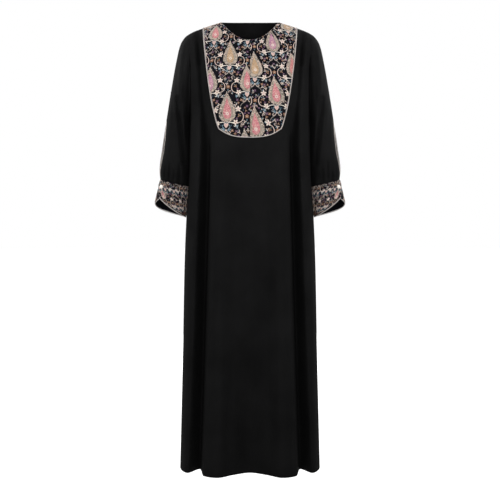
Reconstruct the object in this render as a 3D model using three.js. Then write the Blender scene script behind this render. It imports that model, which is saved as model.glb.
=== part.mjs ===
import * as THREE from 'three';

// A butterfly abaya, filled out to the hollow form it takes when worn. Millimetres, +Z up.
// The robe faces -Y, and +X is the wearer's left. The origin is the middle of the shoulder line, at the
// height of the two neck points. Shoulder, overarm, underarm and side seams all lie in the plane Y = 0.
// Heights are given as drops: how far a point lies below the neck points.

// ---- Driving dimensions -----------------------------------------------------------------------------
const LENGTH = 1406; // neck point to hem
const NECK = { halfWidth: 89.6, frontDrop: 56, backRise: 5.4, notch: 4 };
const UNDERARM = { x: 190, drop: 300, outerDrop: 294 }; // and where its level meets the overarm seam
const SHOULDER_CREASE_DROP = 31; // where the line between body and sleeve starts on the shoulder seam
const OVERARM_FAN_DROP = 218; // where the outermost column of the sleeve leaves the overarm seam
const SLEEVE_END = { innerDrop: 512, outerDrop: 491 };
const SLIT = { from: 303, to: 487, opening: 6.5, fullness: 0.8 }; // open stretch of the overarm seam
const BIB = { halfWidthTop: 152, halfWidthBottom: 95, bottomDrop: 360, cornerRise: 26 };
const CUFF = { inner: 203, outer: 300, halfDepth: 46, notchDrop: 549, innerDrop: 613, notchAngle: 48 };
const CUFF_FLARE = 0.8; // how early the outer side of the cuff swings out on its way down
const CUFF_LAP = { end: 372, sinksFrom: 318, sunkAt: 350, clearance: 0.5 }; // degrees round the cuff, and mm
const CLOTH = 1.6;
const BIB_CLOTH = 1.8;
const CUFF_CLOTH = 2.0;
const SEAM_GAP = 0.3;
const PIPING = { radius: 1.6, sides: 6, lift: 0.6 };
const BUTTON = { radius: 6.5, height: 5.6, rim: 0.8, footShare: 0.9, lift: 0.1, arc: 27, down: 0.28 };
const GATHERS = { perHalf: 4, share: 0.08, reach: 75 }; // puckers where the sleeve meets its cuff

// Half outline from the front: neck point, shoulder, then the overarm seam down to the cuff
const outline = [
  { drop: 0, x: 89.6 }, { drop: 16, x: 150 }, { drop: 27, x: 181 }, { drop: 41, x: 203 },
  { drop: 64, x: 218 }, { drop: 115, x: 231 }, { drop: 192, x: 245 }, { drop: 294, x: 261 },
  { drop: 397, x: 277 }, { drop: 465, x: 285.5 }, { drop: 491, x: 282 },
];
// The same line carried up across the neck opening, so that the cloth rounds over the shoulder evenly
const neckArch = [{ drop: -40, x: 0 }, { drop: -31, x: 45 }, { drop: -15, x: 72 }];
// Side seam of the body, inner seam of the sleeve, and the crease between them above the underarm
const bodySide = [
  { drop: 300, x: 190 }, { drop: 420, x: 190.5 }, { drop: 512, x: 193.5 }, { drop: 620, x: 201 },
  { drop: 755, x: 207 }, { drop: 1037, x: 213 }, { drop: LENGTH, x: 222.5 },
];
const sleeveInner = [
  { drop: 300, x: 190 }, { drop: 330, x: 190.9 }, { drop: 420, x: 191.4 }, { drop: 512, x: 194.4 },
];
const creaseLine = [
  { drop: 40, x: 192, depth: 0 }, { drop: 70, x: 190, depth: 0.06 }, { drop: 120, x: 186, depth: 0.17 },
  { drop: 195, x: 184, depth: 0.3 }, { drop: 240, x: 185, depth: 0.42 }, { drop: 275, x: 187, depth: 0.63 },
  { drop: 300, x: 190, depth: 1 },
];
// Radius over which the cloth turns from its full depth to the seam plane
const shoulderRound = [
  { drop: -40, r: 62 }, { drop: 0, r: 62 }, { drop: 40, r: 58 }, { drop: 80, r: 50 },
  { drop: 150, r: 40 }, { drop: 300, r: 35.5 }, { drop: 420, r: 41 }, { drop: 512, r: 42 },
];
const bodyRound = [{ drop: 0, r: 30 }, { drop: 300, r: 42 }, { drop: 600, r: 36 }, { drop: LENGTH, r: 30 }];
// Half depth of the sleeve, which is drawn in where it meets the cuff
const sleeveDepth = [
  { drop: -40, y: 50 }, { drop: 120, y: 57 }, { drop: 300, y: 60 }, { drop: 420, y: 58 },
  { drop: 465, y: 54 }, { drop: 491, y: 46 }, { drop: 512, y: 44 },
];
// Fold lines of the body: place at the underarm, place at the hem, and depth from the seam plane per level
const LEVELS = [-40, 120, 230, 330, 430, 600, LENGTH];
const frontFolds = [
  { name: 'centre valley', x: 0, hemX: 0, depth: [66, 92, 114, 118, 113, 106, 97] },
  { name: 'panel', x: 50, hemX: 52, depth: [66, 94, 122, 125, 121, 117, 130] },
  { name: 'flute crest', x: 88, hemX: 100, depth: [62, 92, 122, 125, 127, 131, 172] },
  { name: 'flute edge', x: 108, hemX: 144, depth: [58, 87, 111, 113, 114, 115, 146] },
  { name: 'groove', x: 124, hemX: 158, depth: [56, 82, 98, 84, 62, 48, 44] },
  { name: 'side crest', x: 152, hemX: 196, depth: [53, 71, 83, 88, 88, 86, 100] },
  { name: 'side', x: 190, hemX: 222, depth: [50, 57, 60, 60, 62, 68, 84] },
];
const backFolds = [
  { name: 'centre valley', x: 0, hemX: 0, depth: [66, 78, 86, 92, 94, 96, 106] },
  { name: 'panel', x: 50, hemX: 48, depth: [66, 80, 92, 98, 101, 104, 126] },
  { name: 'flute crest', x: 90, hemX: 96, depth: [62, 80, 94, 101, 106, 112, 150] },
  { name: 'flute edge', x: 114, hemX: 140, depth: [60, 76, 88, 94, 97, 100, 128] },
  { name: 'groove', x: 132, hemX: 158, depth: [58, 70, 81, 77, 68, 58, 54] },
  { name: 'side crest', x: 158, hemX: 196, depth: [54, 64, 73, 75, 75, 76, 88] },
  { name: 'side', x: 190, hemX: 222, depth: [50, 57, 60, 60, 62, 66, 78] },
];
// Slanting creases: a trough, or a ridge where the depth is negative, from one point to another
const frontCreases = [
  { name: 'sleeve drag', x: 224, drop: 240, toX: 205, toDrop: 440, width: 13, depth: 10 },
  { name: 'upper arm ridge', x: 214, drop: 100, toX: 216, toDrop: 240, width: 13, depth: -5 },
  { name: 'beside the bib', x: 164, drop: 34, toX: 156, toDrop: 130, width: 15, depth: 7 },
];
const backCreases = [
  { name: 'sleeve drag', x: 226, drop: 230, toX: 207, toDrop: 430, width: 14, depth: 9 },
  { name: 'shoulder blade', x: 150, drop: 120, toX: 172, toDrop: 250, width: 20, depth: 8 },
];

// ---- Grid of one half sheet ---------------------------------------------------------------------------
// Columns run down the cloth: from the centre to the bib's side, on over the folds of the body to the side
// seam, and from there over the sleeve. Rows crowd together at the top of the yoke and of the body.
const BIB_COLUMNS = 8;
const BODY_COLUMNS = 18;
const SLEEVE_COLUMNS = 16;
const LAST_COLUMN = BODY_COLUMNS + SLEEVE_COLUMNS;
const ROWS = { yoke: 10, body: 11, sleeve: 9 };
const CROWDING = { yoke: 1.6, body: 1.25 };
const neckColumns = [0, 5, 30, 57, 78, NECK.halfWidth]; // where the columns meet the neck edge
const shoulderColumns = [110, 131, BIB.halfWidthTop]; // and the shoulder seam above the bib
const bibColumnFeet = [0, 5, 22, 41, 58, 72, 83, 90, BIB.halfWidthBottom];
const sideColumnFeet = [104, 111, 117, 123, 132, 144, 158, 172, 183, UNDERARM.x];
const hemColumns = [
  0, 6, 24, 46, 66, 84, 100, 115, 129, 139, 146, 151, 158, 168, 182, 196, 208, 217, 222.5,
];
const bibSide = [
  { drop: 18, x: 152 }, { drop: 131, x: 138 }, { drop: 235, x: 122 }, { drop: 293, x: 108.5 },
  { drop: 319, x: 101 }, { drop: 334, x: 95 },
];

// ---- Small mathematics --------------------------------------------------------------------------------
const lerp = THREE.MathUtils.lerp;
const clamp = THREE.MathUtils.clamp;
const smoothstep = THREE.MathUtils.smoothstep;
const radians = THREE.MathUtils.degToRad;
const point = (x, y, z) => new THREE.Vector3(x, y, z);

// A smooth curve through the given values, which never swings past them
function curveThrough(at, values) {
  const last = at.length - 1;
  const rise = at.slice(1).map((_, i) => (values[i + 1] - values[i]) / (at[i + 1] - at[i]));
  const slope = at.map((_, i) => {
    if (i === 0 || i === last) return rise[Math.min(i, last - 1)];
    if (rise[i - 1] * rise[i] <= 0) return 0;
    const before = at[i] - at[i - 1];
    const after = at[i + 1] - at[i];
    const w1 = 2 * after + before;
    const w2 = after + 2 * before;
    return (w1 + w2) / (w1 / rise[i - 1] + w2 / rise[i]);
  });
  return (t) => {
    if (t <= at[0]) return values[0];
    if (t >= at[last]) return values[last];
    const i = at.findIndex((start, n) => t < at[n + 1]);
    const h = at[i + 1] - at[i];
    const s = (t - at[i]) / h;
    const s2 = s * s;
    const s3 = s2 * s;
    return (2 * s3 - 3 * s2 + 1) * values[i] + (s3 - 2 * s2 + s) * h * slope[i]
      + (3 * s2 - 2 * s3) * values[i + 1] + (s3 - s2) * h * slope[i + 1];
  };
}

// A table's column as a curve over the drop
const overDrop = (table, key) => curveThrough(table.map((row) => row.drop), table.map((row) => row[key]));

// Quarter-round profile: 0 at the seam, 1 from the radius on
function quarterRound(distance, radius) {
  const t = clamp(1 - distance / radius, 0, 1);
  return Math.sqrt(1 - t * t);
}

function distanceToSegment(x, z, a, b) {
  const dx = b.x - a.x;
  const dz = b.z - a.z;
  const t = clamp(((x - a.x) * dx + (z - a.z) * dz) / (dx * dx + dz * dz), 0, 1);
  return Math.hypot(x - a.x - t * dx, z - a.z - t * dz);
}

// ---- Form of the cloth --------------------------------------------------------------------------------
const outlineX = overDrop(outline, 'x');
const bodySideX = overDrop(bodySide, 'x');
const sleeveInnerX = overDrop(sleeveInner, 'x');
const creaseX = overDrop(creaseLine, 'x');
const creaseDepth = overDrop(creaseLine, 'depth');
const outerRadius = overDrop(shoulderRound, 'r');
const bodyRadius = overDrop(bodyRound, 'r');
const sleeveHalfDepth = overDrop(sleeveDepth, 'y');
const bibSideX = overDrop(bibSide, 'x');

const TINY = 1e-6;
const OUTLINE_STEPS = 90;
const outlinePoints = Array.from({ length: OUTLINE_STEPS + 1 }, (_, i) => {
  const drop = SLEEVE_END.outerDrop * (i / OUTLINE_STEPS) ** CROWDING.yoke;
  return { x: outlineX(drop), z: -drop };
});
const roundingLine = [...neckArch.map(({ x, drop }) => ({ x, z: -drop })), ...outlinePoints];

function distanceToOutline(x, z) {
  let nearest = Infinity;
  for (let i = 1; i < roundingLine.length; i += 1) {
    nearest = Math.min(nearest, distanceToSegment(x, z, roundingLine[i - 1], roundingLine[i]));
  }
  return nearest;
}

// Point of the outline a given share of the way along it, between two drops
function alongOutline(fromDrop, toDrop, share) {
  const steps = 60;
  const samples = Array.from({ length: steps + 1 }, (_, i) => {
    const drop = lerp(fromDrop, toDrop, i / steps);
    return { x: outlineX(drop), z: -drop };
  });
  const lengths = [0];
  for (let i = 1; i <= steps; i += 1) {
    const step = Math.hypot(samples[i].x - samples[i - 1].x, samples[i].z - samples[i - 1].z);
    lengths.push(lengths[i - 1] + step);
  }
  const drop = curveThrough(lengths, samples.map((s) => -s.z))(share * lengths[steps]);
  return { x: outlineX(drop), z: -drop };
}

function foldDepth(folds, x, drop) {
  const spread = clamp((drop - LEVELS[3]) / (LENGTH - LEVELS[3]), 0, 1);
  const places = folds.map((fold) => lerp(fold.x, fold.hemX, spread));
  const depths = folds.map((fold) => curveThrough(LEVELS, fold.depth)(drop));
  // with the other half's first fold, so that the centre line is smooth
  return curveThrough([-places[1], ...places], [depths[1], ...depths])(x);
}

function creaseDepthAt(creases, x, z) {
  return creases.reduce((sum, crease) => {
    const from = { x: crease.x, z: -crease.drop };
    const to = { x: crease.toX, z: -crease.toDrop };
    const near = clamp(distanceToSegment(x, z, from, to) / crease.width, 0, 1);
    return sum + crease.depth * (1 - near * near) ** 2;
  }, 0);
}

// Depth of the cloth at a point of the front view. region is 'yoke' above the underarm, where body and
// sleeve are one surface with a crease between them, and 'body' or 'sleeve' below it.
function depthAt(sheet, region, x, z) {
  const drop = -z;
  const outer = quarterRound(distanceToOutline(x, z), outerRadius(drop));
  if (region === 'body') {
    const depth = foldDepth(sheet.folds, x, drop) - creaseDepthAt(sheet.creases, x, z);
    return depth * quarterRound(bodySideX(drop) - x, bodyRadius(drop));
  }
  if (region === 'sleeve') {
    const inner = sleeveInnerX(drop);
    const halfWidth = (outlineX(drop) - inner) / 2;
    const turn = Math.acos(clamp(1 - (x - inner) / halfWidth, -1, 1)) / Math.PI;
    const wave = (1 - Math.cos(2 * Math.PI * GATHERS.perHalf * turn)) / 2;
    const across = clamp((x - inner) / (2 * halfWidth), 0, 1);
    const rowEnd = lerp(SLEEVE_END.innerDrop, SLEEVE_END.outerDrop, across);
    const gathered = 1 - GATHERS.share * wave * smoothstep(drop, rowEnd - GATHERS.reach, rowEnd);
    const depth = sleeveHalfDepth(drop) - creaseDepthAt(sheet.creases, x, z);
    return depth * gathered * outer * quarterRound(x - inner, halfWidth);
  }
  const radius = x < creaseX(drop) ? bodyRadius(drop) : outerRadius(drop);
  const crease = 1 - creaseDepth(drop) * (1 - quarterRound(Math.abs(x - creaseX(drop)), radius));
  const full = x < UNDERARM.x ? foldDepth(sheet.folds, x, drop) : sleeveHalfDepth(drop);
  return (full - creaseDepthAt(sheet.creases, x, z)) * crease * outer;
}

// ---- Layout of the columns in the front view ------------------------------------------------------------
function neckDrop(sheet, x) {
  const across = 1 - (x / NECK.halfWidth) ** 2;
  if (sheet.forward) return NECK.frontDrop * across + (x === 0 ? NECK.notch : 0);
  return -NECK.backRise * Math.sqrt(across);
}

// The shoulder seam as drop over x, as far out as the sleeve
const shoulder = outline.slice(0, 4);
const shoulderDrop = curveThrough(shoulder.map((row) => row.x), shoulder.map((row) => row.drop));

function columnTop(sheet, k) {
  if (k < neckColumns.length) return { x: neckColumns[k], z: -neckDrop(sheet, neckColumns[k]) };
  if (k <= BIB_COLUMNS) {
    const x = shoulderColumns[k - neckColumns.length];
    return { x, z: -shoulderDrop(x) };
  }
  if (k <= BODY_COLUMNS) {
    const share = (k - BIB_COLUMNS) / (BODY_COLUMNS - BIB_COLUMNS);
    return alongOutline(bibSide[0].drop, SHOULDER_CREASE_DROP, share);
  }
  return alongOutline(SHOULDER_CREASE_DROP, OVERARM_FAN_DROP, (k - BODY_COLUMNS) / SLEEVE_COLUMNS);
}

// Share of the sleeve's width at a column, spaced evenly round its section
const sleeveShare = (k) => (1 - Math.cos((Math.PI * (k - BODY_COLUMNS)) / SLEEVE_COLUMNS)) / 2;

function columnFoot(k) {
  if (k <= BIB_COLUMNS) {
    const x = bibColumnFeet[k];
    return { x, z: -BIB.bottomDrop + BIB.cornerRise * (x / BIB.halfWidthBottom) ** 3 };
  }
  if (k <= BODY_COLUMNS) {
    const x = sideColumnFeet[k - BIB_COLUMNS - 1];
    const share = (x - BIB.halfWidthBottom) / (UNDERARM.x - BIB.halfWidthBottom);
    return { x, z: lerp(-BIB.bottomDrop + BIB.cornerRise, -UNDERARM.drop, share) };
  }
  const share = sleeveShare(k);
  const outer = { x: outlineX(UNDERARM.outerDrop), drop: UNDERARM.outerDrop };
  return { x: lerp(UNDERARM.x, outer.x, share), z: -lerp(UNDERARM.drop, outer.drop, share) };
}

function yokePlace(sheet, k, j) {
  const t = (j / ROWS.yoke) ** CROWDING.yoke;
  const top = columnTop(sheet, k);
  const foot = columnFoot(k);
  const z = lerp(top.z, foot.z, t);
  if (k === LAST_COLUMN) return { x: outlineX(-z), z };
  // The columns near the bib's side bend with it
  const sideTop = columnTop(sheet, BIB_COLUMNS);
  const sideZ = lerp(sideTop.z, columnFoot(BIB_COLUMNS).z, t);
  const bend = bibSideX(-sideZ) - lerp(sideTop.x, BIB.halfWidthBottom, t);
  const inside = (k / BIB_COLUMNS) ** 2;
  const outside = clamp(1 - (k - BIB_COLUMNS) / (BODY_COLUMNS - BIB_COLUMNS), 0, 1);
  const x = lerp(top.x, foot.x, t) + bend * (k <= BIB_COLUMNS ? inside : outside);
  // and the last one of the body follows the crease
  const onCrease = k === BODY_COLUMNS && j > 0;
  return { x: Math.min(onCrease ? creaseX(-z) : x, outlineX(-z)), z };
}

function bodyPlace(k, j) {
  const foot = columnFoot(k);
  const z = lerp(foot.z, -LENGTH, (j / ROWS.body) ** CROWDING.body);
  if (k === BODY_COLUMNS) return { x: bodySideX(-z), z };
  const x = lerp(foot.x, hemColumns[k], (z - foot.z) / (-LENGTH - foot.z));
  return { x: Math.min(x, bodySideX(-z) - (BODY_COLUMNS - k)), z };
}

function slitOpening(sheet, drop) {
  if (!sheet.forward || drop <= SLIT.from || drop >= SLIT.to) return 0;
  const share = (drop - SLIT.from) / (SLIT.to - SLIT.from);
  return SLIT.opening * Math.sin(Math.PI * share) ** SLIT.fullness;
}

function sleevePlace(sheet, k, j) {
  const t = j / ROWS.sleeve;
  const share = sleeveShare(k);
  const innerDrop = lerp(UNDERARM.drop, SLEEVE_END.innerDrop, t);
  const outerDrop = lerp(UNDERARM.outerDrop, SLEEVE_END.outerDrop, t);
  const outer = outlineX(outerDrop) - slitOpening(sheet, outerDrop);
  return { x: lerp(sleeveInnerX(innerDrop), outer, share), z: -lerp(innerDrop, outerDrop, share) };
}

// ---- From half sheets to meshes -------------------------------------------------------------------------
// A surface is a list of points and of triangles with a tag each, facing out of the robe. Body and sleeves
// are cut in one: the tags part them only along the crease, where no seam runs, so that each is a simple
// form that can be told apart from the space inside it.
function halfSurface(sheet) {
  const points = [];
  const triangles = [];
  const addGrid = (firstColumn, lastColumn, rows, region, place, tagOf) => {
    const index = [];
    for (let k = firstColumn; k <= lastColumn; k += 1) {
      index.push([]);
      for (let j = 0; j <= rows; j += 1) {
        const { x, z } = place(k, j);
        const onSeam = (region !== 'yoke' && k === BODY_COLUMNS)
          || (k === BODY_COLUMNS && region === 'yoke' && j === rows)
          || (region === 'yoke' && j === 0 && k >= neckColumns.length - 1)
          || (k === LAST_COLUMN && slitOpening(sheet, -z) === 0);
        // the first row of body and sleeve is the yoke's last
        const depth = onSeam ? 0 : depthAt(sheet, j === 0 ? 'yoke' : region, x, z);
        index[k - firstColumn].push(points.push(point(x, sheet.forward ? -depth : depth, z)) - 1);
      }
    }
    for (let k = 0; k < lastColumn - firstColumn; k += 1) {
      for (let j = 0; j < rows; j += 1) {
        const [a, b] = [index[k][j], index[k][j + 1]];
        const [c, d] = [index[k + 1][j + 1], index[k + 1][j]];
        const tag = tagOf(firstColumn + k);
        triangles.push({ corners: [a, b, c], tag }, { corners: [a, c, d], tag });
      }
    }
  };
  const yokeTag = (k) => {
    if (k < BIB_COLUMNS) return 'bib';
    return k < BODY_COLUMNS ? 'body' : 'sleeve';
  };
  addGrid(0, LAST_COLUMN, ROWS.yoke, 'yoke', (k, j) => yokePlace(sheet, k, j), yokeTag);
  addGrid(0, BODY_COLUMNS, ROWS.body, 'body', bodyPlace, () => 'body');
  const sleeve = (k, j) => sleevePlace(sheet, k, j);
  addGrid(BODY_COLUMNS, LAST_COLUMN, ROWS.sleeve, 'sleeve', sleeve, () => 'sleeve');
  if (!sheet.forward) triangles.forEach(({ corners }) => corners.reverse());
  return { points, triangles };
}

// Both halves of a sheet, with the points that meet joined into one
function wholeSurface(half) {
  const keys = new Map();
  const points = [];
  const indexOf = (p) => {
    const key = [p.x, p.y, p.z].map((v) => Math.round(v * 1000)).join();
    if (!keys.has(key)) keys.set(key, points.push(p) - 1);
    return keys.get(key);
  };
  const triangles = [];
  for (const side of [1, -1]) {
    const index = half.points.map((p) => indexOf(point(side * p.x, p.y, p.z)));
    for (const { corners, tag } of half.triangles) {
      const turned = corners.map((c) => index[c]);
      if (side < 0) turned.reverse();
      if (new Set(turned).size === 3) triangles.push({ corners: turned, tag, side });
    }
  }
  const normals = points.map(() => point(0, 0, 0));
  for (const { corners } of triangles) {
    const [a, b, c] = corners.map((i) => points[i]);
    const area = b.clone().sub(a).cross(c.clone().sub(a));
    corners.forEach((i) => normals[i].add(area));
  }
  normals.forEach((n) => n.normalize());
  return { points, normals, triangles };
}

const onHem = (p) => Math.abs(p.z + LENGTH) < TINY;
const SHORTEST_NORMAL = 0.4; // what is left of a normal below this says nothing, as at the tip of a seam

// Direction in which the wall of a point at an edge is thickened: along the seam plane or the hem
function wallDirection(p, normal) {
  const n = normal.clone();
  if (Math.abs(p.y) < TINY) n.y = 0;
  if (onHem(p)) n.z = 0;
  if (n.length() < SHORTEST_NORMAL) n.set(0, 0, -1);
  return n.normalize();
}

// A wall of cloth on the chosen triangles of a surface: the outer skin, an inner skin and a rim between
// them. Its edges are drawn in by half a seam gap, and seamSide keeps it on its side of the seam plane.
function clothWall(surface, chosen, thickness, seamSide) {
  const triangles = surface.triangles.filter(chosen).map((t) => t.corners);
  const edges = new Map();
  for (const [a, b, c] of triangles) {
    for (const [from, to] of [[a, b], [b, c], [c, a]]) edges.set(`${from},${to}`, [from, to, a, b, c]);
  }
  const rim = [...edges.values()].filter(([from, to]) => !edges.has(`${to},${from}`));
  const inward = new Map();
  for (const [from, to, a, b, c] of rim) {
    const [pa, pb, pc] = [a, b, c].map((i) => surface.points[i]);
    const faceNormal = pb.clone().sub(pa).cross(pc.clone().sub(pa)).normalize();
    const along = surface.points[to].clone().sub(surface.points[from]).normalize();
    const direction = faceNormal.cross(along);
    for (const i of [from, to]) inward.set(i, (inward.get(i) ?? point(0, 0, 0)).add(direction));
  }
  const outer = new Map();
  const inner = new Map();
  for (const i of new Set(triangles.flat())) {
    const p = surface.points[i].clone();
    const direction = wallDirection(p, surface.normals[i]);
    if (inward.has(i)) {
      const step = inward.get(i).clone();
      if (onHem(p)) step.set(0, 0, 0);
      if (step.length() > 1) step.normalize();
      p.addScaledVector(step, SEAM_GAP / 2);
    }
    const q = p.clone().addScaledVector(direction, -thickness);
    for (const v of [p, q]) {
      if (seamSide && seamSide * v.y < SEAM_GAP / 2) v.y = (seamSide * SEAM_GAP) / 2;
    }
    outer.set(i, p);
    inner.set(i, q);
  }
  const faces = [];
  for (const [a, b, c] of triangles) {
    faces.push([outer.get(a), outer.get(b), outer.get(c)], [inner.get(c), inner.get(b), inner.get(a)]);
  }
  for (const [from, to] of rim) {
    const [a, b, c, d] = [outer.get(from), outer.get(to), inner.get(to), inner.get(from)];
    // both pieces at a seam part their rims along the same diagonal, and so stay clear where they twist
    if (from < to) faces.push([a, c, b], [a, d, c]);
    else faces.push([a, d, b], [b, d, c]);
  }
  return meshOf(faces);
}

function meshOf(faces) {
  const geometry = new THREE.BufferGeometry();
  const corners = faces.flat().flatMap((v) => v.toArray());
  geometry.setAttribute('position', new THREE.Float32BufferAttribute(corners, 3));
  geometry.computeVertexNormals();
  return geometry;
}

// A round cord along a path, with flat ends
function piping(path) {
  const { radius, sides: corners } = PIPING;
  const tangents = path.map((p, i) => {
    const before = path[Math.max(i - 1, 0)];
    const after = path[Math.min(i + 1, path.length - 1)];
    return after.clone().sub(before).normalize();
  });
  let across = point(0.3, 1, 0.2).cross(tangents[0]).normalize();
  const rings = path.map((p, i) => {
    across = across.clone().projectOnPlane(tangents[i]).normalize();
    const third = tangents[i].clone().cross(across);
    return Array.from({ length: corners }, (_, n) => {
      const angle = (2 * Math.PI * n) / corners;
      const spoke = across.clone().multiplyScalar(Math.cos(angle));
      spoke.addScaledVector(third, Math.sin(angle));
      return p.clone().addScaledVector(spoke, radius);
    });
  });
  const faces = [];
  for (let i = 0; i < rings.length - 1; i += 1) {
    for (let n = 0; n < corners; n += 1) {
      const m = (n + 1) % corners;
      const [a, b] = [rings[i][n], rings[i][m]];
      const [c, d] = [rings[i + 1][m], rings[i + 1][n]];
      faces.push([a, b, c], [a, c, d]);
    }
  }
  for (let n = 1; n < corners - 1; n += 1) {
    const [start, end] = [rings[0], rings[rings.length - 1]];
    faces.push([start[0], start[n + 1], start[n]], [end[0], end[n], end[n + 1]]);
  }
  return meshOf(faces);
}

// ---- Cuffs ----------------------------------------------------------------------------------------------
// A tulip cuff is one band wrapped round the wrist. Its front end laps over its back end below the sleeve's
// slit, where it is buttoned, and its lower edge falls from a notch there to its longest at the inner arm.
const INNER_ARM = 180 - CUFF.notchAngle;

function cuffPoint(arc, down) {
  const angle = radians(CUFF.notchAngle * down + arc);
  const across = (1 + Math.cos(angle)) / 2;
  const lapped = arc % 360;
  const towardInner = lapped < INNER_ARM ? lapped / INNER_ARM : (360 - lapped) / (360 - INNER_ARM);
  const lowerDrop = lerp(CUFF.notchDrop, CUFF.innerDrop, Math.sin((towardInner * Math.PI) / 2));
  const topDrop = lerp(SLEEVE_END.innerDrop, SLEEVE_END.outerDrop, across);
  const inner = lerp(sleeveInnerX(topDrop), CUFF.inner, down);
  const outer = lerp(outlineX(topDrop), CUFF.outer, down ** CUFF_FLARE);
  const halfDepth = lerp(sleeveHalfDepth(topDrop), CUFF.halfDepth, down);
  const lapDepth = CUFF_CLOTH + SEAM_GAP + CUFF_LAP.clearance;
  const lap = smoothstep(arc, CUFF_LAP.sinksFrom, CUFF_LAP.sunkAt) * lapDepth;
  const middle = (inner + outer) / 2;
  const x = middle + ((outer - inner) / 2 - lap) * Math.cos(angle);
  const y = -(halfDepth - lap) * Math.sin(angle);
  return point(x, y, -lerp(topDrop, lowerDrop, down));
}

const CUFF_COLUMNS = 32;
const CUFF_ROWS = 3;

function cuffSurface(side) {
  const points = [];
  const triangles = [];
  for (let i = 0; i <= CUFF_COLUMNS; i += 1) {
    for (let j = 0; j <= CUFF_ROWS; j += 1) {
      const p = cuffPoint((CUFF_LAP.end * i) / CUFF_COLUMNS, j / CUFF_ROWS);
      points.push(point(side * p.x, p.y, p.z));
    }
  }
  for (let i = 0; i < CUFF_COLUMNS; i += 1) {
    for (let j = 0; j < CUFF_ROWS; j += 1) {
      const a = i * (CUFF_ROWS + 1) + j;
      const d = a + CUFF_ROWS + 1;
      for (const corners of [[a, d, d + 1], [a, d + 1, a + 1]]) {
        if (side < 0) corners.reverse();
        triangles.push({ corners });
      }
    }
  }
  const normals = points.map(() => point(0, 0, 0));
  for (const { corners } of triangles) {
    const [a, b, c] = corners.map((i) => points[i]);
    corners.forEach((i) => normals[i].add(b.clone().sub(a).cross(c.clone().sub(a))));
  }
  normals.forEach((n) => n.normalize());
  return { points, normals, triangles };
}

// ---- Assembly -------------------------------------------------------------------------------------------
const finishes = {
  crepe: { color: 0x17171a, roughness: 0.9, metalness: 0 },
  embroidery: { color: 0x3a3134, roughness: 0.85, metalness: 0 },
  piping: { color: 0xd8cfc4, roughness: 0.5, metalness: 0 },
  pearl: { color: 0xf0e9e0, roughness: 0.2, metalness: 0 },
};
const abaya = new THREE.Group();

function addPiece(name, geometry, finish) {
  const mesh = new THREE.Mesh(geometry, new THREE.MeshStandardMaterial(finishes[finish]));
  mesh.name = name;
  abaya.add(mesh);
  return mesh;
}

const frontSheet = { forward: true, folds: frontFolds, creases: frontCreases };
const backSheet = { forward: false, folds: backFolds, creases: backCreases };
const front = wholeSurface(halfSurface(frontSheet));
const back = wholeSurface(halfSurface(backSheet));

const sides = [{ side: 1, name: 'left' }, { side: -1, name: 'right' }];
const tagged = (tag, side) => (triangle) => triangle.tag === tag && triangle.side === side;

addPiece('front', clothWall(front, (triangle) => triangle.tag === 'body', CLOTH, -1), 'crepe');
addPiece('back', clothWall(back, (triangle) => triangle.tag !== 'sleeve', CLOTH, 1), 'crepe');
for (const { side, name } of sides) {
  addPiece(`front_sleeve_${name}`, clothWall(front, tagged('sleeve', side), CLOTH, -1), 'crepe');
  addPiece(`back_sleeve_${name}`, clothWall(back, tagged('sleeve', side), CLOTH, 1), 'crepe');
  addPiece(`bib_${name}`, clothWall(front, tagged('bib', side), BIB_CLOTH, -1), 'embroidery');
}

// Piping laid over the seam round the bib
const PIPING_LIFT = PIPING.radius + PIPING.lift;

function seamPath(surface, places) {
  return places.map(({ x, z, y }) => {
    const at = point(x, y, z);
    const nearest = surface.points.reduce((best, p, i) => (
      p.distanceTo(at) < surface.points[best].distanceTo(at) ? i : best), 0);
    return surface.points[nearest].clone().addScaledVector(surface.normals[nearest], PIPING_LIFT);
  });
}

const bibEdge = [];
for (let j = 1; j <= ROWS.yoke; j += 1) bibEdge.push(yokePlace(frontSheet, BIB_COLUMNS, j));
for (let k = BIB_COLUMNS - 1; k > 0; k -= 1) bibEdge.push(yokePlace(frontSheet, k, ROWS.yoke));
const rightEdge = bibEdge.map(({ x, z }) => ({ x, z, y: -depthAt(frontSheet, 'yoke', x, z) }));
const bottom = yokePlace(frontSheet, 0, ROWS.yoke);
const bottomPoint = { ...bottom, y: -depthAt(frontSheet, 'yoke', bottom.x, bottom.z) };
const leftEdge = rightEdge.map(({ x, y, z }) => ({ x: -x, y, z })).reverse();
const bibPath = seamPath(front, [...rightEdge, bottomPoint, ...leftEdge]);
addPiece('bib_piping', piping(bibPath), 'piping');

// The piping of an edge lies just beyond it, in line with the cloth
const PIPING_REACH = PIPING.radius + SEAM_GAP;

function slitPath(sheet, side) {
  const path = [];
  const forward = sheet.forward ? -1 : 1;
  for (let j = 1; j < ROWS.sleeve; j += 1) {
    const edge = sleevePlace(sheet, LAST_COLUMN, j);
    const beside = sleevePlace(sheet, LAST_COLUMN - 1, j);
    const from = point(beside.x, forward * depthAt(sheet, 'sleeve', beside.x, beside.z), beside.z);
    const open = slitOpening(sheet, -edge.z) > 0;
    const to = point(edge.x, open ? forward * depthAt(sheet, 'sleeve', edge.x, edge.z) : 0, edge.z);
    const beyond = to.clone().sub(from).setZ(0).normalize();
    const inward = point(-1, 0, 0).projectOnPlane(beyond).normalize();
    to.addScaledVector(beyond, PIPING_REACH + SEAM_GAP / 2);
    to.addScaledVector(inward, CLOTH / 2);
    path.push(point(side * to.x, to.y, to.z));
  }
  return path;
}

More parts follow.
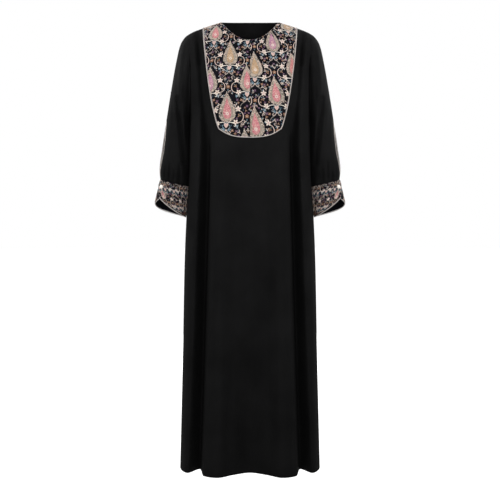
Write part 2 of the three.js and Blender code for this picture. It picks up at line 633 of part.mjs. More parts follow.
// Half of a button's section: a flat foot, a short rim and a dome
const BUTTON_SIDES = 14;
const DOME_STEPS = 4;
const buttonProfile = [new THREE.Vector2(0, 0), new THREE.Vector2(BUTTON.footShare * BUTTON.radius, 0)];
for (let n = 0; n <= DOME_STEPS; n += 1) {
  const angle = (n / DOME_STEPS) * (Math.PI / 2);
  const rise = BUTTON.rim + (BUTTON.height - BUTTON.rim) * Math.sin(angle);
  buttonProfile.push(new THREE.Vector2(n === DOME_STEPS ? 0 : BUTTON.radius * Math.cos(angle), rise));
}

for (const { side, name } of sides) {
  addPiece(`slit_piping_front_${name}`, piping(slitPath(frontSheet, side)), 'piping');
  addPiece(`slit_piping_back_${name}`, piping(slitPath(backSheet, side)), 'piping');

  const surface = cuffSurface(side);
  addPiece(`cuff_${name}`, clothWall(surface, () => true, CUFF_CLOTH, 0), 'embroidery');
  const cuffPath = [];
  for (let i = 0; i < CUFF_COLUMNS - 1; i += 1) {
    const at = i * (CUFF_ROWS + 1) + CUFF_ROWS;
    const edge = surface.points[at].clone();
    const before = surface.points[Math.max(at - CUFF_ROWS - 1, CUFF_ROWS)];
    const along = surface.points[at + CUFF_ROWS + 1].clone().sub(before);
    const beyond = along.cross(surface.normals[at]).multiplyScalar(-side).normalize();
    edge.addScaledVector(beyond, PIPING_REACH);
    edge.addScaledVector(surface.normals[at], -CUFF_CLOTH / 2);
    cuffPath.push(edge);
  }
  addPiece(`cuff_piping_${name}`, piping(cuffPath), 'piping');

  const button = addPiece(`button_${name}`, new THREE.LatheGeometry(buttonProfile, BUTTON_SIDES), 'pearl');
  const seat = cuffPoint(BUTTON.arc, BUTTON.down);
  const besideSeat = cuffPoint(BUTTON.arc + 2, BUTTON.down);
  const belowSeat = cuffPoint(BUTTON.arc, BUTTON.down + 0.05);
  const out = besideSeat.sub(seat).cross(belowSeat.sub(seat)).normalize();
  const placed = seat.addScaledVector(out, SEAM_GAP + BUTTON.lift);
  button.position.set(side * placed.x, placed.y, placed.z);
  button.quaternion.setFromUnitVectors(point(0, 1, 0), point(side * out.x, out.y, out.z));
}

export default abaya;
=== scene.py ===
import math

import bmesh
import bpy
import numpy as np
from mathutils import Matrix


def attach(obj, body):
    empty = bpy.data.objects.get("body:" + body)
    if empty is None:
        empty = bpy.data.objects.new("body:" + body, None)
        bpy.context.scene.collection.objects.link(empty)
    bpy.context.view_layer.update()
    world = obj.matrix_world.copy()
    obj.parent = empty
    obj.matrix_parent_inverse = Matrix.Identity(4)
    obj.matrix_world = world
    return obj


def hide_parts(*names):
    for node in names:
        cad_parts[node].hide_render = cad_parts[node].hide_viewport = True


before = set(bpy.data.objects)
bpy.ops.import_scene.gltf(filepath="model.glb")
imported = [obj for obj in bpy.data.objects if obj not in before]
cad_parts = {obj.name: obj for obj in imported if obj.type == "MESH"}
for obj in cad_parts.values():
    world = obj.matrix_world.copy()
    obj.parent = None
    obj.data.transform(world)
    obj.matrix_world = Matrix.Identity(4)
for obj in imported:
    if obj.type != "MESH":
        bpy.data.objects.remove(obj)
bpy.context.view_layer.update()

# A black butterfly abaya, filled out as it is when worn. It faces -Y and +X is the wearer's left.
# Cutting sizes are in millimetres and heights are drops below the neck points; meshes are in metres.


# ---- Studio --------------------------------------------------------------------------------------------
# A plain pale floor a hand's breadth below the hem, large soft boxes in front, behind and high on both
# sides, a little white light from all round, and a camera straight in front of the middle of the robe.
MM = 0.001
ROBE_LENGTH = 1406
CAMERA_DISTANCE = 4.6
CAMERA_PITCH = math.radians(3.4)
CAMERA_AIM_HEIGHT = -0.714
VIEW_SIDE = 1.582
SENSOR = 36
FLOOR_CLEARANCE = 0.11
FLOOR_RADIUS = 14
FLOOR_GLOW = 0.75
FRONT_BOX_DISTANCE = 4.4
FRONT_BOX_HEIGHT = -0.1
FRONT_BOX_AIM = (0, 0, -0.8)
FRONT_BOX_SIZE = 2.2
FRONT_LIGHT = 60
FRONT_SPREAD = 180
SIDE_BOX_PLACE = (1.3, 0.85, 0.45)
SIDE_BOX_AIM = (0.26, 0, -0.2)
SIDE_BOX_SIZE = 0.7
SIDE_LIGHT = 2.4
SIDE_SPREAD = 56
ROOM_LIGHT = 0.45


def soft_box(name, place, aim, size, power, spread):
    """A square area light of some width in metres, power in watts and spread in degrees"""
    data = bpy.data.lights.new(name, "AREA")
    data.shape = "RECTANGLE"
    data.spread = math.radians(spread)
    data.size = size
    data.size_y = size
    data.energy = power
    light = bpy.data.objects.new(name, data)
    light.location = place
    direction = np.array(aim, float) - np.array(place, float)
    pitch = math.atan2(direction[2], math.hypot(direction[0], direction[1]))
    turn = math.atan2(direction[0], direction[1])
    light.rotation_euler = (math.pi / 2 + pitch, 0, -turn)
    bpy.context.scene.collection.objects.link(light)


camera_data = bpy.data.cameras.new("camera")
camera_data.sensor_width = SENSOR
camera_data.lens = SENSOR * CAMERA_DISTANCE / VIEW_SIDE
camera = bpy.data.objects.new("camera", camera_data)
camera.location = (
    0,
    -CAMERA_DISTANCE * math.cos(CAMERA_PITCH),
    CAMERA_AIM_HEIGHT + CAMERA_DISTANCE * math.sin(CAMERA_PITCH),
)
camera.rotation_euler = (math.pi / 2 - CAMERA_PITCH, 0, 0)
bpy.context.scene.collection.objects.link(camera)
bpy.context.scene.camera = camera
bpy.context.scene.view_settings.view_transform = "Standard"

for way, label in ((-1, "front"), (1, "back")):
    place = (0, way * FRONT_BOX_DISTANCE, FRONT_BOX_HEIGHT)
    soft_box(f"{label} soft box", place, FRONT_BOX_AIM, FRONT_BOX_SIZE, FRONT_LIGHT, FRONT_SPREAD)
for side in (-1, 1):
    for way, label in ((-1, "side"), (1, "rear side")):
        place = np.multiply(SIDE_BOX_PLACE, (side, way, 1))
        aim = np.multiply(SIDE_BOX_AIM, (side, 1, 1))
        soft_box(f"{label} soft box {side}", place, aim, SIDE_BOX_SIZE, SIDE_LIGHT, SIDE_SPREAD)

# The room is seen white, and lights the robe with ROOM_LIGHT of that
world = bpy.data.worlds.new("white studio")
world.use_nodes = True
world_tree = world.node_tree
seen = world_tree.nodes.new("ShaderNodeLightPath")
room = world_tree.nodes.new("ShaderNodeMapRange")
room.inputs["To Min"].default_value = ROOM_LIGHT
world_tree.links.new(seen.outputs["Is Camera Ray"], room.inputs["Value"])
world_tree.nodes["Background"].inputs["Color"].default_value = (1, 1, 1, 1)
world_tree.links.new(room.outputs["Result"], world_tree.nodes["Background"].inputs["Strength"])
bpy.context.scene.world = world


def material_with_shader(name):
    """A new material, its node tree and its Principled shader"""
    material = bpy.data.materials.new(name)
    material.use_nodes = True
    return material, material.node_tree, material.node_tree.nodes["Principled BSDF"]


def set_sockets(node, values):
    """Numbers and colours on a node's own sockets"""
    for socket, value in values.items():
        node.inputs[socket].default_value = value


def add_tones(tree, factor, dark, light, low=0.0, high=1.0):
    """The colour between a dark and a light tone, by a factor that runs from low to high"""
    ramp = tree.nodes.new("ShaderNodeValToRGB")
    for stop, place, colour in zip(ramp.color_ramp.elements, (low, high), (dark, light)):
        stop.position = place
        stop.color = (*colour, 1)
    tree.links.new(factor, ramp.inputs["Fac"])
    return ramp.outputs["Color"]


floor_material, floor_tree, floor_shader = material_with_shader("pale floor")
floor_noise = floor_tree.nodes.new("ShaderNodeTexNoise")
floor_noise.inputs["Scale"].default_value = 3
floor_tones = add_tones(floor_tree, floor_noise.outputs["Fac"], (0.86, 0.86, 0.86), (0.9, 0.9, 0.9))
floor_tree.links.new(floor_tones, floor_shader.inputs["Base Color"])
set_sockets(floor_shader, {"Roughness": 0.9, "Emission Color": (1, 1, 1, 1)})
floor_seen = floor_tree.nodes.new("ShaderNodeLightPath")
floor_glow = floor_tree.nodes.new("ShaderNodeMapRange")
floor_glow.inputs["To Max"].default_value = FLOOR_GLOW
floor_tree.links.new(floor_seen.outputs["Is Camera Ray"], floor_glow.inputs["Value"])
floor_tree.links.new(floor_glow.outputs["Result"], floor_shader.inputs["Emission Strength"])

floor_mesh = bpy.data.meshes.new("floor")
floor_build = bmesh.new()
bmesh.ops.create_circle(floor_build, cap_ends=True, segments=64, radius=FLOOR_RADIUS)
floor_build.to_mesh(floor_mesh)
floor_build.free()
floor_mesh.materials.append(floor_material)
floor = bpy.data.objects.new("floor", floor_mesh)
floor.location.z = -ROBE_LENGTH * MM - FLOOR_CLEARANCE
bpy.context.scene.collection.objects.link(floor)


# ---- Front ---------------------------------------------------------------------------------------------
# The front of the robe, cut in one with the front halves of both sleeves from black crepe. It is sewn to
# the back at the shoulder, overarm, underarm and side seams, which all lie in the plane y = 0, and a
# U-shaped opening in it takes the bib. The overarm seam is left open above the cuff.
CLOTH = 1.6
NECK_HALF_WIDTH = 89.6
NECK_FRONT_DROP = 59
NECK_BACK_RISE = 5.4
NECK_NOTCH = 6
NECK_NOTCH_HALF_WIDTH = 16
NECK_SQUARENESS = 2.1
UNDERARM_X = 190
UNDERARM_DROP = 300
UNDERARM_OUTER_DROP = 294
CREASE_TOP_DROP = 31
OVERARM_FAN_DROP = 218
SLEEVE_INNER_DROP = 512
SLEEVE_OUTER_DROP = 491
SLIT_FROM = 303
SLIT_TO = 487
SLIT_OPENING = 8.5
BIB_TOP_DROP = 17.6
BIB_FOOT_HALF_WIDTH = 95
BIB_BOTTOM_DROP = 360
BIB_CORNER_RISE = 26
GATHERS_PER_HALF = 4
GATHER_SHARE = 0.08
GATHER_REACH = 75
SEAM_GAP = 0.3
SEAM_CLOSED_GAP = 0.05

# Half outline from the front: neck point, shoulder, then the overarm seam down to the cuff (drop, x),
# and the same line carried up across the neck opening. Its first rows, down to where the sleeve is widest,
# also serve to find a drop from its x.
OUTLINE = (
    (0, 89.6), (19, 150), (31, 181), (45.5, 203), (69, 218), (121, 231), (197, 245), (294, 261),
    (397, 277), (465, 285.5), (491, 282),
)
NECK_ARCH = ((-40, 0), (-31, 45), (-15, 72))
OUTLINE_BY_X = tuple((x, drop) for drop, x in OUTLINE[:9])
# Side seam of the body and inner seam of the sleeve (drop, x)
BODY_SIDE = (
    (300, 190), (330, 190.7), (420, 191.4), (512, 194.4), (620, 201.3), (755, 207), (1037, 213),
    (ROBE_LENGTH, 222.5),
)
SLEEVE_INNER = ((300, 190), (330, 190.4), (420, 190.5), (512, 193.5))
# Crease between body and sleeve above the underarm (drop, x) and (drop, share of the depth)
CREASE_LINE = ((40, 192), (70, 190), (120, 186), (195, 184), (240, 185), (275, 187), (300, 190))
CREASE_SHARE = ((40, 0), (70, 0.06), (120, 0.17), (195, 0.3), (240, 0.42), (275, 0.63), (300, 1))
# Radius over which the cloth turns to the seam plane (drop, radius), and half depth of the sleeve
OUTER_ROUND = ((-40, 62), (0, 62), (40, 58), (80, 50), (150, 40), (300, 35.5), (420, 41), (512, 42))
BODY_ROUND = ((0, 30), (300, 42), (600, 36), (ROBE_LENGTH, 30))
SLEEVE_DEPTH = ((-40, 50), (120, 57), (300, 60), (420, 58), (465, 54), (491, 46), (512, 44))
BIB_SIDE = ((BIB_TOP_DROP, 146), (131, 134.5), (235, 119.8), (293, 107.5), (319, 100.5), (334, 95))
# Fold lines of the body: place above the hips, place at the hem, and depth at each level
LEVELS = (-40, 120, 230, 330, 430, 600, ROBE_LENGTH)
FRONT_FOLDS = (
    {"name": "centre valley", "x": 0, "hem_x": 0, "depth": (66, 92, 114, 118, 113, 106, 97)},
    {"name": "panel", "x": 50, "hem_x": 52, "depth": (66, 94, 122, 125, 121, 117, 130)},
    {"name": "flute crest", "x": 88, "hem_x": 100, "depth": (62, 92, 122, 125, 127, 131, 172)},
    {"name": "flute edge", "x": 108, "hem_x": 144, "depth": (58, 87, 111, 113, 114, 115, 146)},
    {"name": "groove", "x": 124, "hem_x": 158, "depth": (56, 82, 98, 84, 62, 48, 44)},
    {"name": "side crest", "x": 152, "hem_x": 196, "depth": (53, 71, 83, 88, 88, 86, 100)},
    {"name": "side", "x": 190, "hem_x": 222, "depth": (50, 57, 60, 60, 62, 68, 84)},
)
# Creases that both sides share: a trough, or a ridge where the depth is negative
FRONT_CREASES = (
    {"name": "sleeve drag", "line": ((224, 240), (205, 440)), "width": 13, "depth": 10},
    {"name": "upper arm ridge", "line": ((214, 100), (216, 240)), "width": 13, "depth": -5},
    {"name": "beside the bib", "line": ((164, 34), (156, 130)), "width": 15, "depth": 7},
)
# Softer creases, x to the wearer's left: name, (x, drop) at the start, middle and end, width, depth
FRONT_SOFT_CREASES = (
    # beside the body the sleeve falls in a long fold, and a second one runs down to it
    ("right armhole fold", (-186, 118), (-196, 240), (-199, 430), 6, 9),
    ("left armhole fold", (181, 96), (190, 215), (196, 400), 6, 9),
    ("right elbow fold", (-232, 226), (-214, 330), (-202, 430), 7, 4.5),
    ("left elbow fold", (229, 250), (213, 340), (203, 440), 7, 4),
    ("right bib fold", (-157, 10), (-151, 170), (-126, 420), 14, 22),
    ("left bib fold", (157, 10), (150, 165), (125, 420), 14, 20),
    # soft drags on the upper sleeves
    ("right shoulder drag", (-196, 62), (-207, 120), (-213, 205), 5, 2.6),
    ("right outer drag", (-217, 86), (-228, 150), (-233, 225), 4.5, 2.2),
    ("right arm drag", (-238, 210), (-243, 280), (-240, 345), 6, 3.2),
    ("left shoulder drag", (200, 70), (212, 140), (214, 228), 5, 3),
    ("left outer drag", (222, 96), (231, 170), (240, 262), 4.5, 2.2),
    ("left arm drag", (246, 250), (250, 320), (244, 388), 5.5, 3),
    # puckers where the sleeves are eased into the cuffs
    ("right pucker 1", (-264, 446), (-266, 470), (-268, 500), 3.6, 4.5),
    ("right pucker 2", (-250, 432), (-250, 462), (-253, 506), 3.8, 5.5),
    ("right pucker 3", (-236, 455), (-237, 478), (-240, 510), 3.4, 4.5),
    ("right pucker 4", (-219, 440), (-221, 472), (-222, 514), 4, 5.5),
    ("left pucker 1", (268, 440), (270, 466), (270, 498), 3.6, 4.5),
    ("left pucker 2", (256, 456), (256, 476), (257, 504), 3.4, 4),
    ("left pucker 3", (241, 430), (243, 464), (243, 508), 4, 6),
    ("left pucker 4", (226, 452), (226, 478), (229, 512), 3.6, 4.5),
    # the body hangs in long shallow folds below the bib, deeper toward the grooves
    ("right body fold", (-39, 500), (-50, 760), (-46, 1090), 15, 3),
    ("left body fold", (44, 470), (55, 690), (60, 980), 15, 3),
    ("centre fold", (-6, 540), (4, 700), (-3, 860), 24, 4),
    ("right hem fold", (-70, 1110), (-66, 1230), (-74, 1404), 13, 5),
    ("left hem fold", (62, 1170), (70, 1280), (66, 1404), 13, 4),
    ("right side fold", (-182, 560), (-186, 800), (-184, 1130), 9, 5),
    ("left side fold", (178, 620), (188, 850), (190, 1240), 9, 5),
    ("right groove", (-134, 250), (-138, 700), (-158, 1440), 17, 18),
    ("left groove", (133, 250), (138, 760), (159, 1440), 17, 16),
)

# Columns run down the cloth, and their places are given by number: the bib's first, then those beside it
# out to the side seam, then the sleeve's
BIB_COLUMN = 8
SIDE_COLUMN = 18
LAST_COLUMN = 34
NECK_COLUMNS = (0, 16, 34, 57, 78, NECK_HALF_WIDTH)
SHOULDER_COLUMNS = (NECK_HALF_WIDTH, 108, 128, 146)
COLUMN_FEET = (
    0, 5, 22, 41, 58, 72, 83, 90, BIB_FOOT_HALF_WIDTH, 104, 111, 117, 123, 132, 144, 158, 172, 183,
    UNDERARM_X,
)
HEM_COLUMNS = (0, 6, 24, 46, 66, 84, 100, 115, 129, 139, 146, 151, 158, 168, 182, 196, 208, 217, 222.5)
YOKE_ROWS = 60
BODY_ROWS = 84
SLEEVE_ROWS = 48
STEPS_PER_COLUMN = 4
# How much closer the rows of a region, or the steps of its outline, lie near its top
YOKE_CROWDING = 1.8
BODY_CROWDING = 1.25
OUTLINE_CROWDING = 1.6
OUTLINE_STEPS = 90
LENGTH_STEPS = 60
CREASE_STEPS = 12
CREASE_FADE = 0.7
# Shares of the body's and the sleeve's length over which they take over from the yoke
JOIN_SHARE = 0.12
SIDE_JOIN_SHARE = 0.04
# Columns in front of the side seam where the cloth turns in to it, and the steps across them
TURN_COLUMNS = 3
TURN_STEPS = 16
# Points closer than this are one, and shorter edges than this are dropped
WELD = 0.02
SHORT_EDGE = 0.005
# A slit narrower than this is closed
CLOSED = 1e-6
# Pieces sewn together along a column keep this share of a column clear of it
SEAM_COLUMN_GAP = 0.02


def curve_through(at, values, t):
    """A smooth curve through the values, which never swings past them. A knot's place and value are
    one number, or one for each point of t."""
    shape = np.shape(t)
    t = np.asarray(t, float).ravel()
    at = np.array([np.broadcast_to(np.asarray(a, float), shape).ravel() for a in at])
    values = np.array([np.broadcast_to(np.asarray(v, float), shape).ravel() for v in values])
    gap = np.diff(at, axis=0)
    rise = np.diff(values, axis=0) / gap
    slope = np.zeros_like(values)
    slope[0] = rise[0]
    slope[-1] = rise[-1]
    before_weight = 2 * gap[1:] + gap[:-1]
    after_weight = gap[1:] + 2 * gap[:-1]
    same_way = rise[:-1] * rise[1:] > 0
    before = np.where(same_way, rise[:-1], 1)
    after = np.where(same_way, rise[1:], 1)
    mean = (before_weight + after_weight) / (before_weight / before + after_weight / after)
    slope[1:-1] = np.where(same_way, mean, 0)
    t = np.clip(t, at[0], at[-1])
    i = np.clip((t >= at).sum(axis=0) - 1, 0, len(at) - 2)
    point = np.arange(t.size)
    h = gap[i, point]
    s = (t - at[i, point]) / h
    start = (2 * s**3 - 3 * s**2 + 1) * values[i, point] + (s**3 - 2 * s**2 + s) * h * slope[i, point]
    end = (3 * s**2 - 2 * s**3) * values[i + 1, point] + (s**3 - s**2) * h * slope[i + 1, point]
    return (start + end).reshape(shape)


def along(table, t):
    """A table of pairs as a smooth curve"""
    return curve_through([row[0] for row in table], [row[1] for row in table], t)


def mix(a, b, share):
    return a + (b - a) * share


def smooth_step(t, low, high):
    """0 up to low, 1 from high on, and smooth between"""
    s = np.clip((t - low) / (high - low), 0, 1)
    return s * s * (3 - 2 * s)


def quarter_round(distance, radius):
    """0 at a seam, 1 from the radius on, and round between"""
    t = np.clip(1 - distance / radius, 0, 1)
    return np.sqrt(1 - t * t)


def distance_to_line(x, z, line):
    """Distance to a line of points, and how far along it the nearest place is, from 0 to 1"""
    nearest = np.full(np.shape(x), np.inf)
    place = np.zeros(np.shape(x))
    pieces = len(line) - 1
    for i in range(pieces):
        (ax, az), (bx, bz) = line[i], line[i + 1]
        dx, dz = bx - ax, bz - az
        t = np.clip(((x - ax) * dx + (z - az) * dz) / (dx * dx + dz * dz), 0, 1)
        distance = np.hypot(x - ax - t * dx, z - az - t * dz)
        place = np.where(distance < nearest, (i + t) / pieces, place)
        nearest = np.minimum(nearest, distance)
    return nearest, place


outline_drops = SLEEVE_OUTER_DROP * np.linspace(0, 1, OUTLINE_STEPS + 1) ** OUTLINE_CROWDING
outline_line = [(x, -drop) for drop, x in NECK_ARCH]
outline_line += list(zip(along(OUTLINE, outline_drops), -outline_drops))


def crease_relief(creases, x, z):
    """Troughs that run along short bent lines and fade out at both ends"""
    relief = np.zeros(np.shape(x))
    for _, (ax, ad), (bx, bd), (cx, cd), width, depth in creases:
        share = np.linspace(0, 1, CREASE_STEPS + 1)
        line_x = (1 - share) ** 2 * ax + 2 * share * (1 - share) * bx + share**2 * cx
        line_d = (1 - share) ** 2 * ad + 2 * share * (1 - share) * bd + share**2 * cd
        distance, place = distance_to_line(x, z, list(zip(line_x, -line_d)))
        fade = np.sin(np.pi * np.clip(place, 0, 1)) ** CREASE_FADE
        relief += depth * fade * np.exp(-((distance / width) ** 2))
    return relief


def depth_at(sheet, region, x, z):
    """How far the cloth stands from the seam plane at a place of the front view, x to the wearer's left"""
    half_x = np.abs(x)
    drop = -z
    spread = np.clip((drop - LEVELS[3]) / (ROBE_LENGTH - LEVELS[3]), 0, 1)
    places = [mix(fold["x"], fold["hem_x"], spread) for fold in sheet["folds"]]
    depths = [curve_through(LEVELS, fold["depth"], drop) for fold in sheet["folds"]]
    folded = curve_through([-places[1], *places], [depths[1], *depths], half_x)
    trough = crease_relief(sheet["soft_creases"], x, z)
    for crease in sheet["creases"]:
        line = [(cx, -cd) for cx, cd in crease["line"]]
        near = np.clip(distance_to_line(half_x, z, line)[0] / crease["width"], 0, 1)
        trough = trough + crease["depth"] * (1 - near**2) ** 2
    outer = quarter_round(distance_to_line(half_x, z, outline_line)[0], along(OUTER_ROUND, drop))
    crease_x = along(CREASE_LINE, drop)
    radius = np.where(half_x < crease_x, along(BODY_ROUND, drop), along(OUTER_ROUND, drop))
    crease = 1 - along(CREASE_SHARE, drop) * (1 - quarter_round(np.abs(half_x - crease_x), radius))
    sleeve_depth = along(SLEEVE_DEPTH, drop)
    full = np.where(half_x < UNDERARM_X, folded, sleeve_depth)
    yoke = (full - trough) * crease * outer
    if region == "yoke":
        return yoke
    if region == "body":
        return (folded - trough) * quarter_round(along(BODY_SIDE, drop) - half_x, along(BODY_ROUND, drop))
    inner = along(SLEEVE_INNER, drop)
    half_width = (along(OUTLINE, drop) - inner) / 2
    across = np.clip((half_x - inner) / (2 * half_width), 0, 1)
    turn = np.arccos(1 - 2 * across) / np.pi
    wave = (1 - np.cos(2 * np.pi * GATHERS_PER_HALF * turn)) / 2
    row_end = mix(SLEEVE_INNER_DROP, SLEEVE_OUTER_DROP, across)
    gathered = 1 - GATHER_SHARE * wave * smooth_step(drop, row_end - GATHER_REACH, row_end)
    return (sleeve_depth - trough) * gathered * outer * quarter_round(half_x - inner, half_width)


def along_outline(from_drop, to_drop, share):
    """Drop of the outline's point a given share of the way between two drops"""
    drops = np.linspace(from_drop, to_drop, LENGTH_STEPS + 1)
    steps = np.hypot(np.diff(along(OUTLINE, drops)), np.diff(drops))
    lengths = np.concatenate([[0], np.cumsum(steps)])
    return np.interp(share * lengths[-1], lengths, drops)


def column_top(sheet, k):
    """Where columns start in the front view: at the neck, on the shoulder or on the overarm seam"""
    neck_x = np.interp(k, range(len(NECK_COLUMNS)), NECK_COLUMNS)
    arch = np.clip(1 - (neck_x / NECK_HALF_WIDTH) ** sheet["neck_squareness"], 0, 1)
    notch = NECK_NOTCH * np.clip(1 - neck_x / NECK_NOTCH_HALF_WIDTH, 0, 1)
    neck_z = -(NECK_FRONT_DROP * arch + notch) if sheet["forward"] else NECK_BACK_RISE * np.sqrt(arch)
    first = len(NECK_COLUMNS) - 1
    shoulder_x = np.interp(k, np.arange(first, BIB_COLUMN + 1), SHOULDER_COLUMNS)
    shoulder_z = -along(OUTLINE_BY_X, shoulder_x)
    side_share = (k - BIB_COLUMN) / (SIDE_COLUMN - BIB_COLUMN)
    side_drop = along_outline(BIB_TOP_DROP, CREASE_TOP_DROP, side_share)
    arm_share = (k - SIDE_COLUMN) / (LAST_COLUMN - SIDE_COLUMN)
    arm_drop = along_outline(CREASE_TOP_DROP, OVERARM_FAN_DROP, arm_share)
    outline_drop = np.where(k <= SIDE_COLUMN, side_drop, arm_drop)
    x = np.where(k <= first, neck_x, np.where(k <= BIB_COLUMN, shoulder_x, along(OUTLINE, outline_drop)))
    z = np.where(k <= first, neck_z, np.where(k <= BIB_COLUMN, shoulder_z, -outline_drop))
    return x, z


def sleeve_share(k):
    """Share of the way across the sleeve, from the underarm seam to the overarm seam"""
    return (1 - np.cos(np.pi * np.clip((k - SIDE_COLUMN) / (LAST_COLUMN - SIDE_COLUMN), 0, 1))) / 2


def column_foot(k):
    """Where the yoke's part of columns ends: at the bib's foot, or on the line out to the underarm"""
    x = np.interp(k, range(len(COLUMN_FEET)), COLUMN_FEET)
    bib_z = -BIB_BOTTOM_DROP + BIB_CORNER_RISE * (x / BIB_FOOT_HALF_WIDTH) ** 3
    beside = (x - BIB_FOOT_HALF_WIDTH) / (UNDERARM_X - BIB_FOOT_HALF_WIDTH)
    side_z = mix(-BIB_BOTTOM_DROP + BIB_CORNER_RISE, -UNDERARM_DROP, beside)
    share = sleeve_share(k)
    arm_x = mix(UNDERARM_X, along(OUTLINE, np.full(np.shape(k), UNDERARM_OUTER_DROP)), share)
    arm_z = -mix(UNDERARM_DROP, UNDERARM_OUTER_DROP, share)
    x = np.where(k <= SIDE_COLUMN, x, arm_x)
    z = np.where(k <= BIB_COLUMN, bib_z, np.where(k <= SIDE_COLUMN, side_z, arm_z))
    return x, z


def yoke_place(sheet, k, share):
    """Place in the front view between the top of a column and its foot"""
    top_x, top_z = column_top(sheet, k)
    foot_x, foot_z = column_foot(k)
    z = mix(top_z, foot_z, share)
    # the columns near the side of the bib bend with it, and the one over the underarm with its crease
    side = np.full(np.shape(k), float(BIB_COLUMN))
    side_top_x, side_top_z = column_top(sheet, side)
    side_z = mix(side_top_z, column_foot(side)[1], share)
    bend = along(BIB_SIDE, -side_z) - mix(side_top_x, BIB_FOOT_HALF_WIDTH, share)
    outside = np.clip(1 - (k - BIB_COLUMN) / (SIDE_COLUMN - BIB_COLUMN), 0, 1)
    bend_share = np.where(k <= BIB_COLUMN, (k / BIB_COLUMN) ** 2, outside)
    crease_bend = (along(CREASE_LINE, -z) - mix(top_x, UNDERARM_X, share)) * np.clip(10 * share, 0, 1)
    at_crease = np.clip(1 - np.abs(k - SIDE_COLUMN), 0, 1)
    x = mix(top_x, foot_x, share) + bend * bend_share + crease_bend * at_crease
    edge = along(OUTLINE, -z)
    return np.where(k >= LAST_COLUMN, edge, np.minimum(x, edge)), z


def body_place(sheet, k, share):
    """Place in the front view between the foot of a yoke column and the hem"""
    foot_x, foot_z = column_foot(k)
    z = mix(foot_z, -ROBE_LENGTH, share**BODY_CROWDING)
    fall = (z - foot_z) / (-ROBE_LENGTH - foot_z)
    hem_x = np.interp(k, range(len(HEM_COLUMNS)), HEM_COLUMNS)
    # the columns near the side seam bend with it, once they are clear of the yoke
    at_side = along(BODY_SIDE, -z) - mix(UNDERARM_X, HEM_COLUMNS[-1], fall)
    at_side = at_side * smooth_step(share, 0, SIDE_JOIN_SHARE)
    return mix(foot_x, hem_x, fall) + at_side * (k / SIDE_COLUMN) ** 4, z


def slit_opening(sheet, drop):
    """How far a sheet's edge draws back from the overarm seam along the slit"""
    if not sheet["forward"]:
        return np.zeros(np.shape(drop))
    along_slit = np.clip((drop - SLIT_FROM) / (SLIT_TO - SLIT_FROM), 0, 1)
    return SLIT_OPENING * np.abs(np.sin(np.pi * along_slit)) ** 0.8


def sleeve_place(sheet, k, share):
    """Place in the front view between the underarm and the top of the cuff"""
    inner_drop = mix(UNDERARM_DROP, SLEEVE_INNER_DROP, share)
    outer_drop = mix(UNDERARM_OUTER_DROP, SLEEVE_OUTER_DROP, share)
    outer = along(OUTLINE, outer_drop) - slit_opening(sheet, outer_drop)
    across = sleeve_share(k)
    return mix(along(SLEEVE_INNER, inner_drop), outer, across), -mix(inner_drop, outer_drop, across)


def sheet_grid(sheet, side, region, columns, rows, place):
    """Points of one half of a sheet, as an array of columns and rows"""
    k, share = np.meshgrid(columns, rows, indexing="ij")
    x, z = place(sheet, k, share)
    depth = depth_at(sheet, region, side * x, z)
    if region != "yoke":
        begin = smooth_step(share, 0, JOIN_SHARE)
        depth = mix(depth_at(sheet, "yoke", side * x, z), depth, begin)
        on_seam = (k == SIDE_COLUMN) | ((k == LAST_COLUMN) & (slit_opening(sheet, -z) < CLOSED))
    else:
        on_seam = ((share == 0) & (k >= len(NECK_COLUMNS) - 1)) | (k == LAST_COLUMN)
        on_seam |= (share == 1) & (k == SIDE_COLUMN)
    depth = np.maximum(np.where(on_seam, 0, depth), SEAM_CLOSED_GAP / 2)
    return np.stack([side * x, -depth if sheet["forward"] else depth, z], axis=-1)


def smooth_piece(name, build):
    """A smooth-shaded object of what was built, named like its mesh"""
    mesh = bpy.data.meshes.new(name)
    build.to_mesh(mesh)
    build.free()
    mesh.shade_smooth()
    piece = bpy.data.objects.new(name, mesh)
    bpy.context.scene.collection.objects.link(piece)
    return piece


def cloth_mesh(name, grids, thickness, flips):
    """One mesh of welded grids, thickened inwards"""
    build = bmesh.new()
    for grid, flip in zip(grids, flips):
        points = [[build.verts.new(p * MM) for p in column] for column in grid]
        for k in range(len(points) - 1):
            for j in range(len(points[0]) - 1):
                corners = (points[k][j], points[k][j + 1], points[k + 1][j + 1], points[k + 1][j])
                build.faces.new(corners[::-1] if flip else corners)
    bmesh.ops.remove_doubles(build, verts=build.verts, dist=WELD * MM)
    bmesh.ops.dissolve_degenerate(build, edges=build.edges, dist=SHORT_EDGE * MM)
    piece = smooth_piece(name, build)
    wall = piece.modifiers.new("wall", "SOLIDIFY")
    wall.thickness = thickness * MM
    wall.offset = -1
    bpy.context.view_layer.update()
    evaluated = piece.evaluated_get(bpy.context.evaluated_depsgraph_get())
    piece.data = bpy.data.meshes.new_from_object(evaluated)
    piece.modifiers.clear()
    return piece


def even_columns(first, last):
    return np.linspace(first, last, round((last - first) * STEPS_PER_COLUMN) + 1)


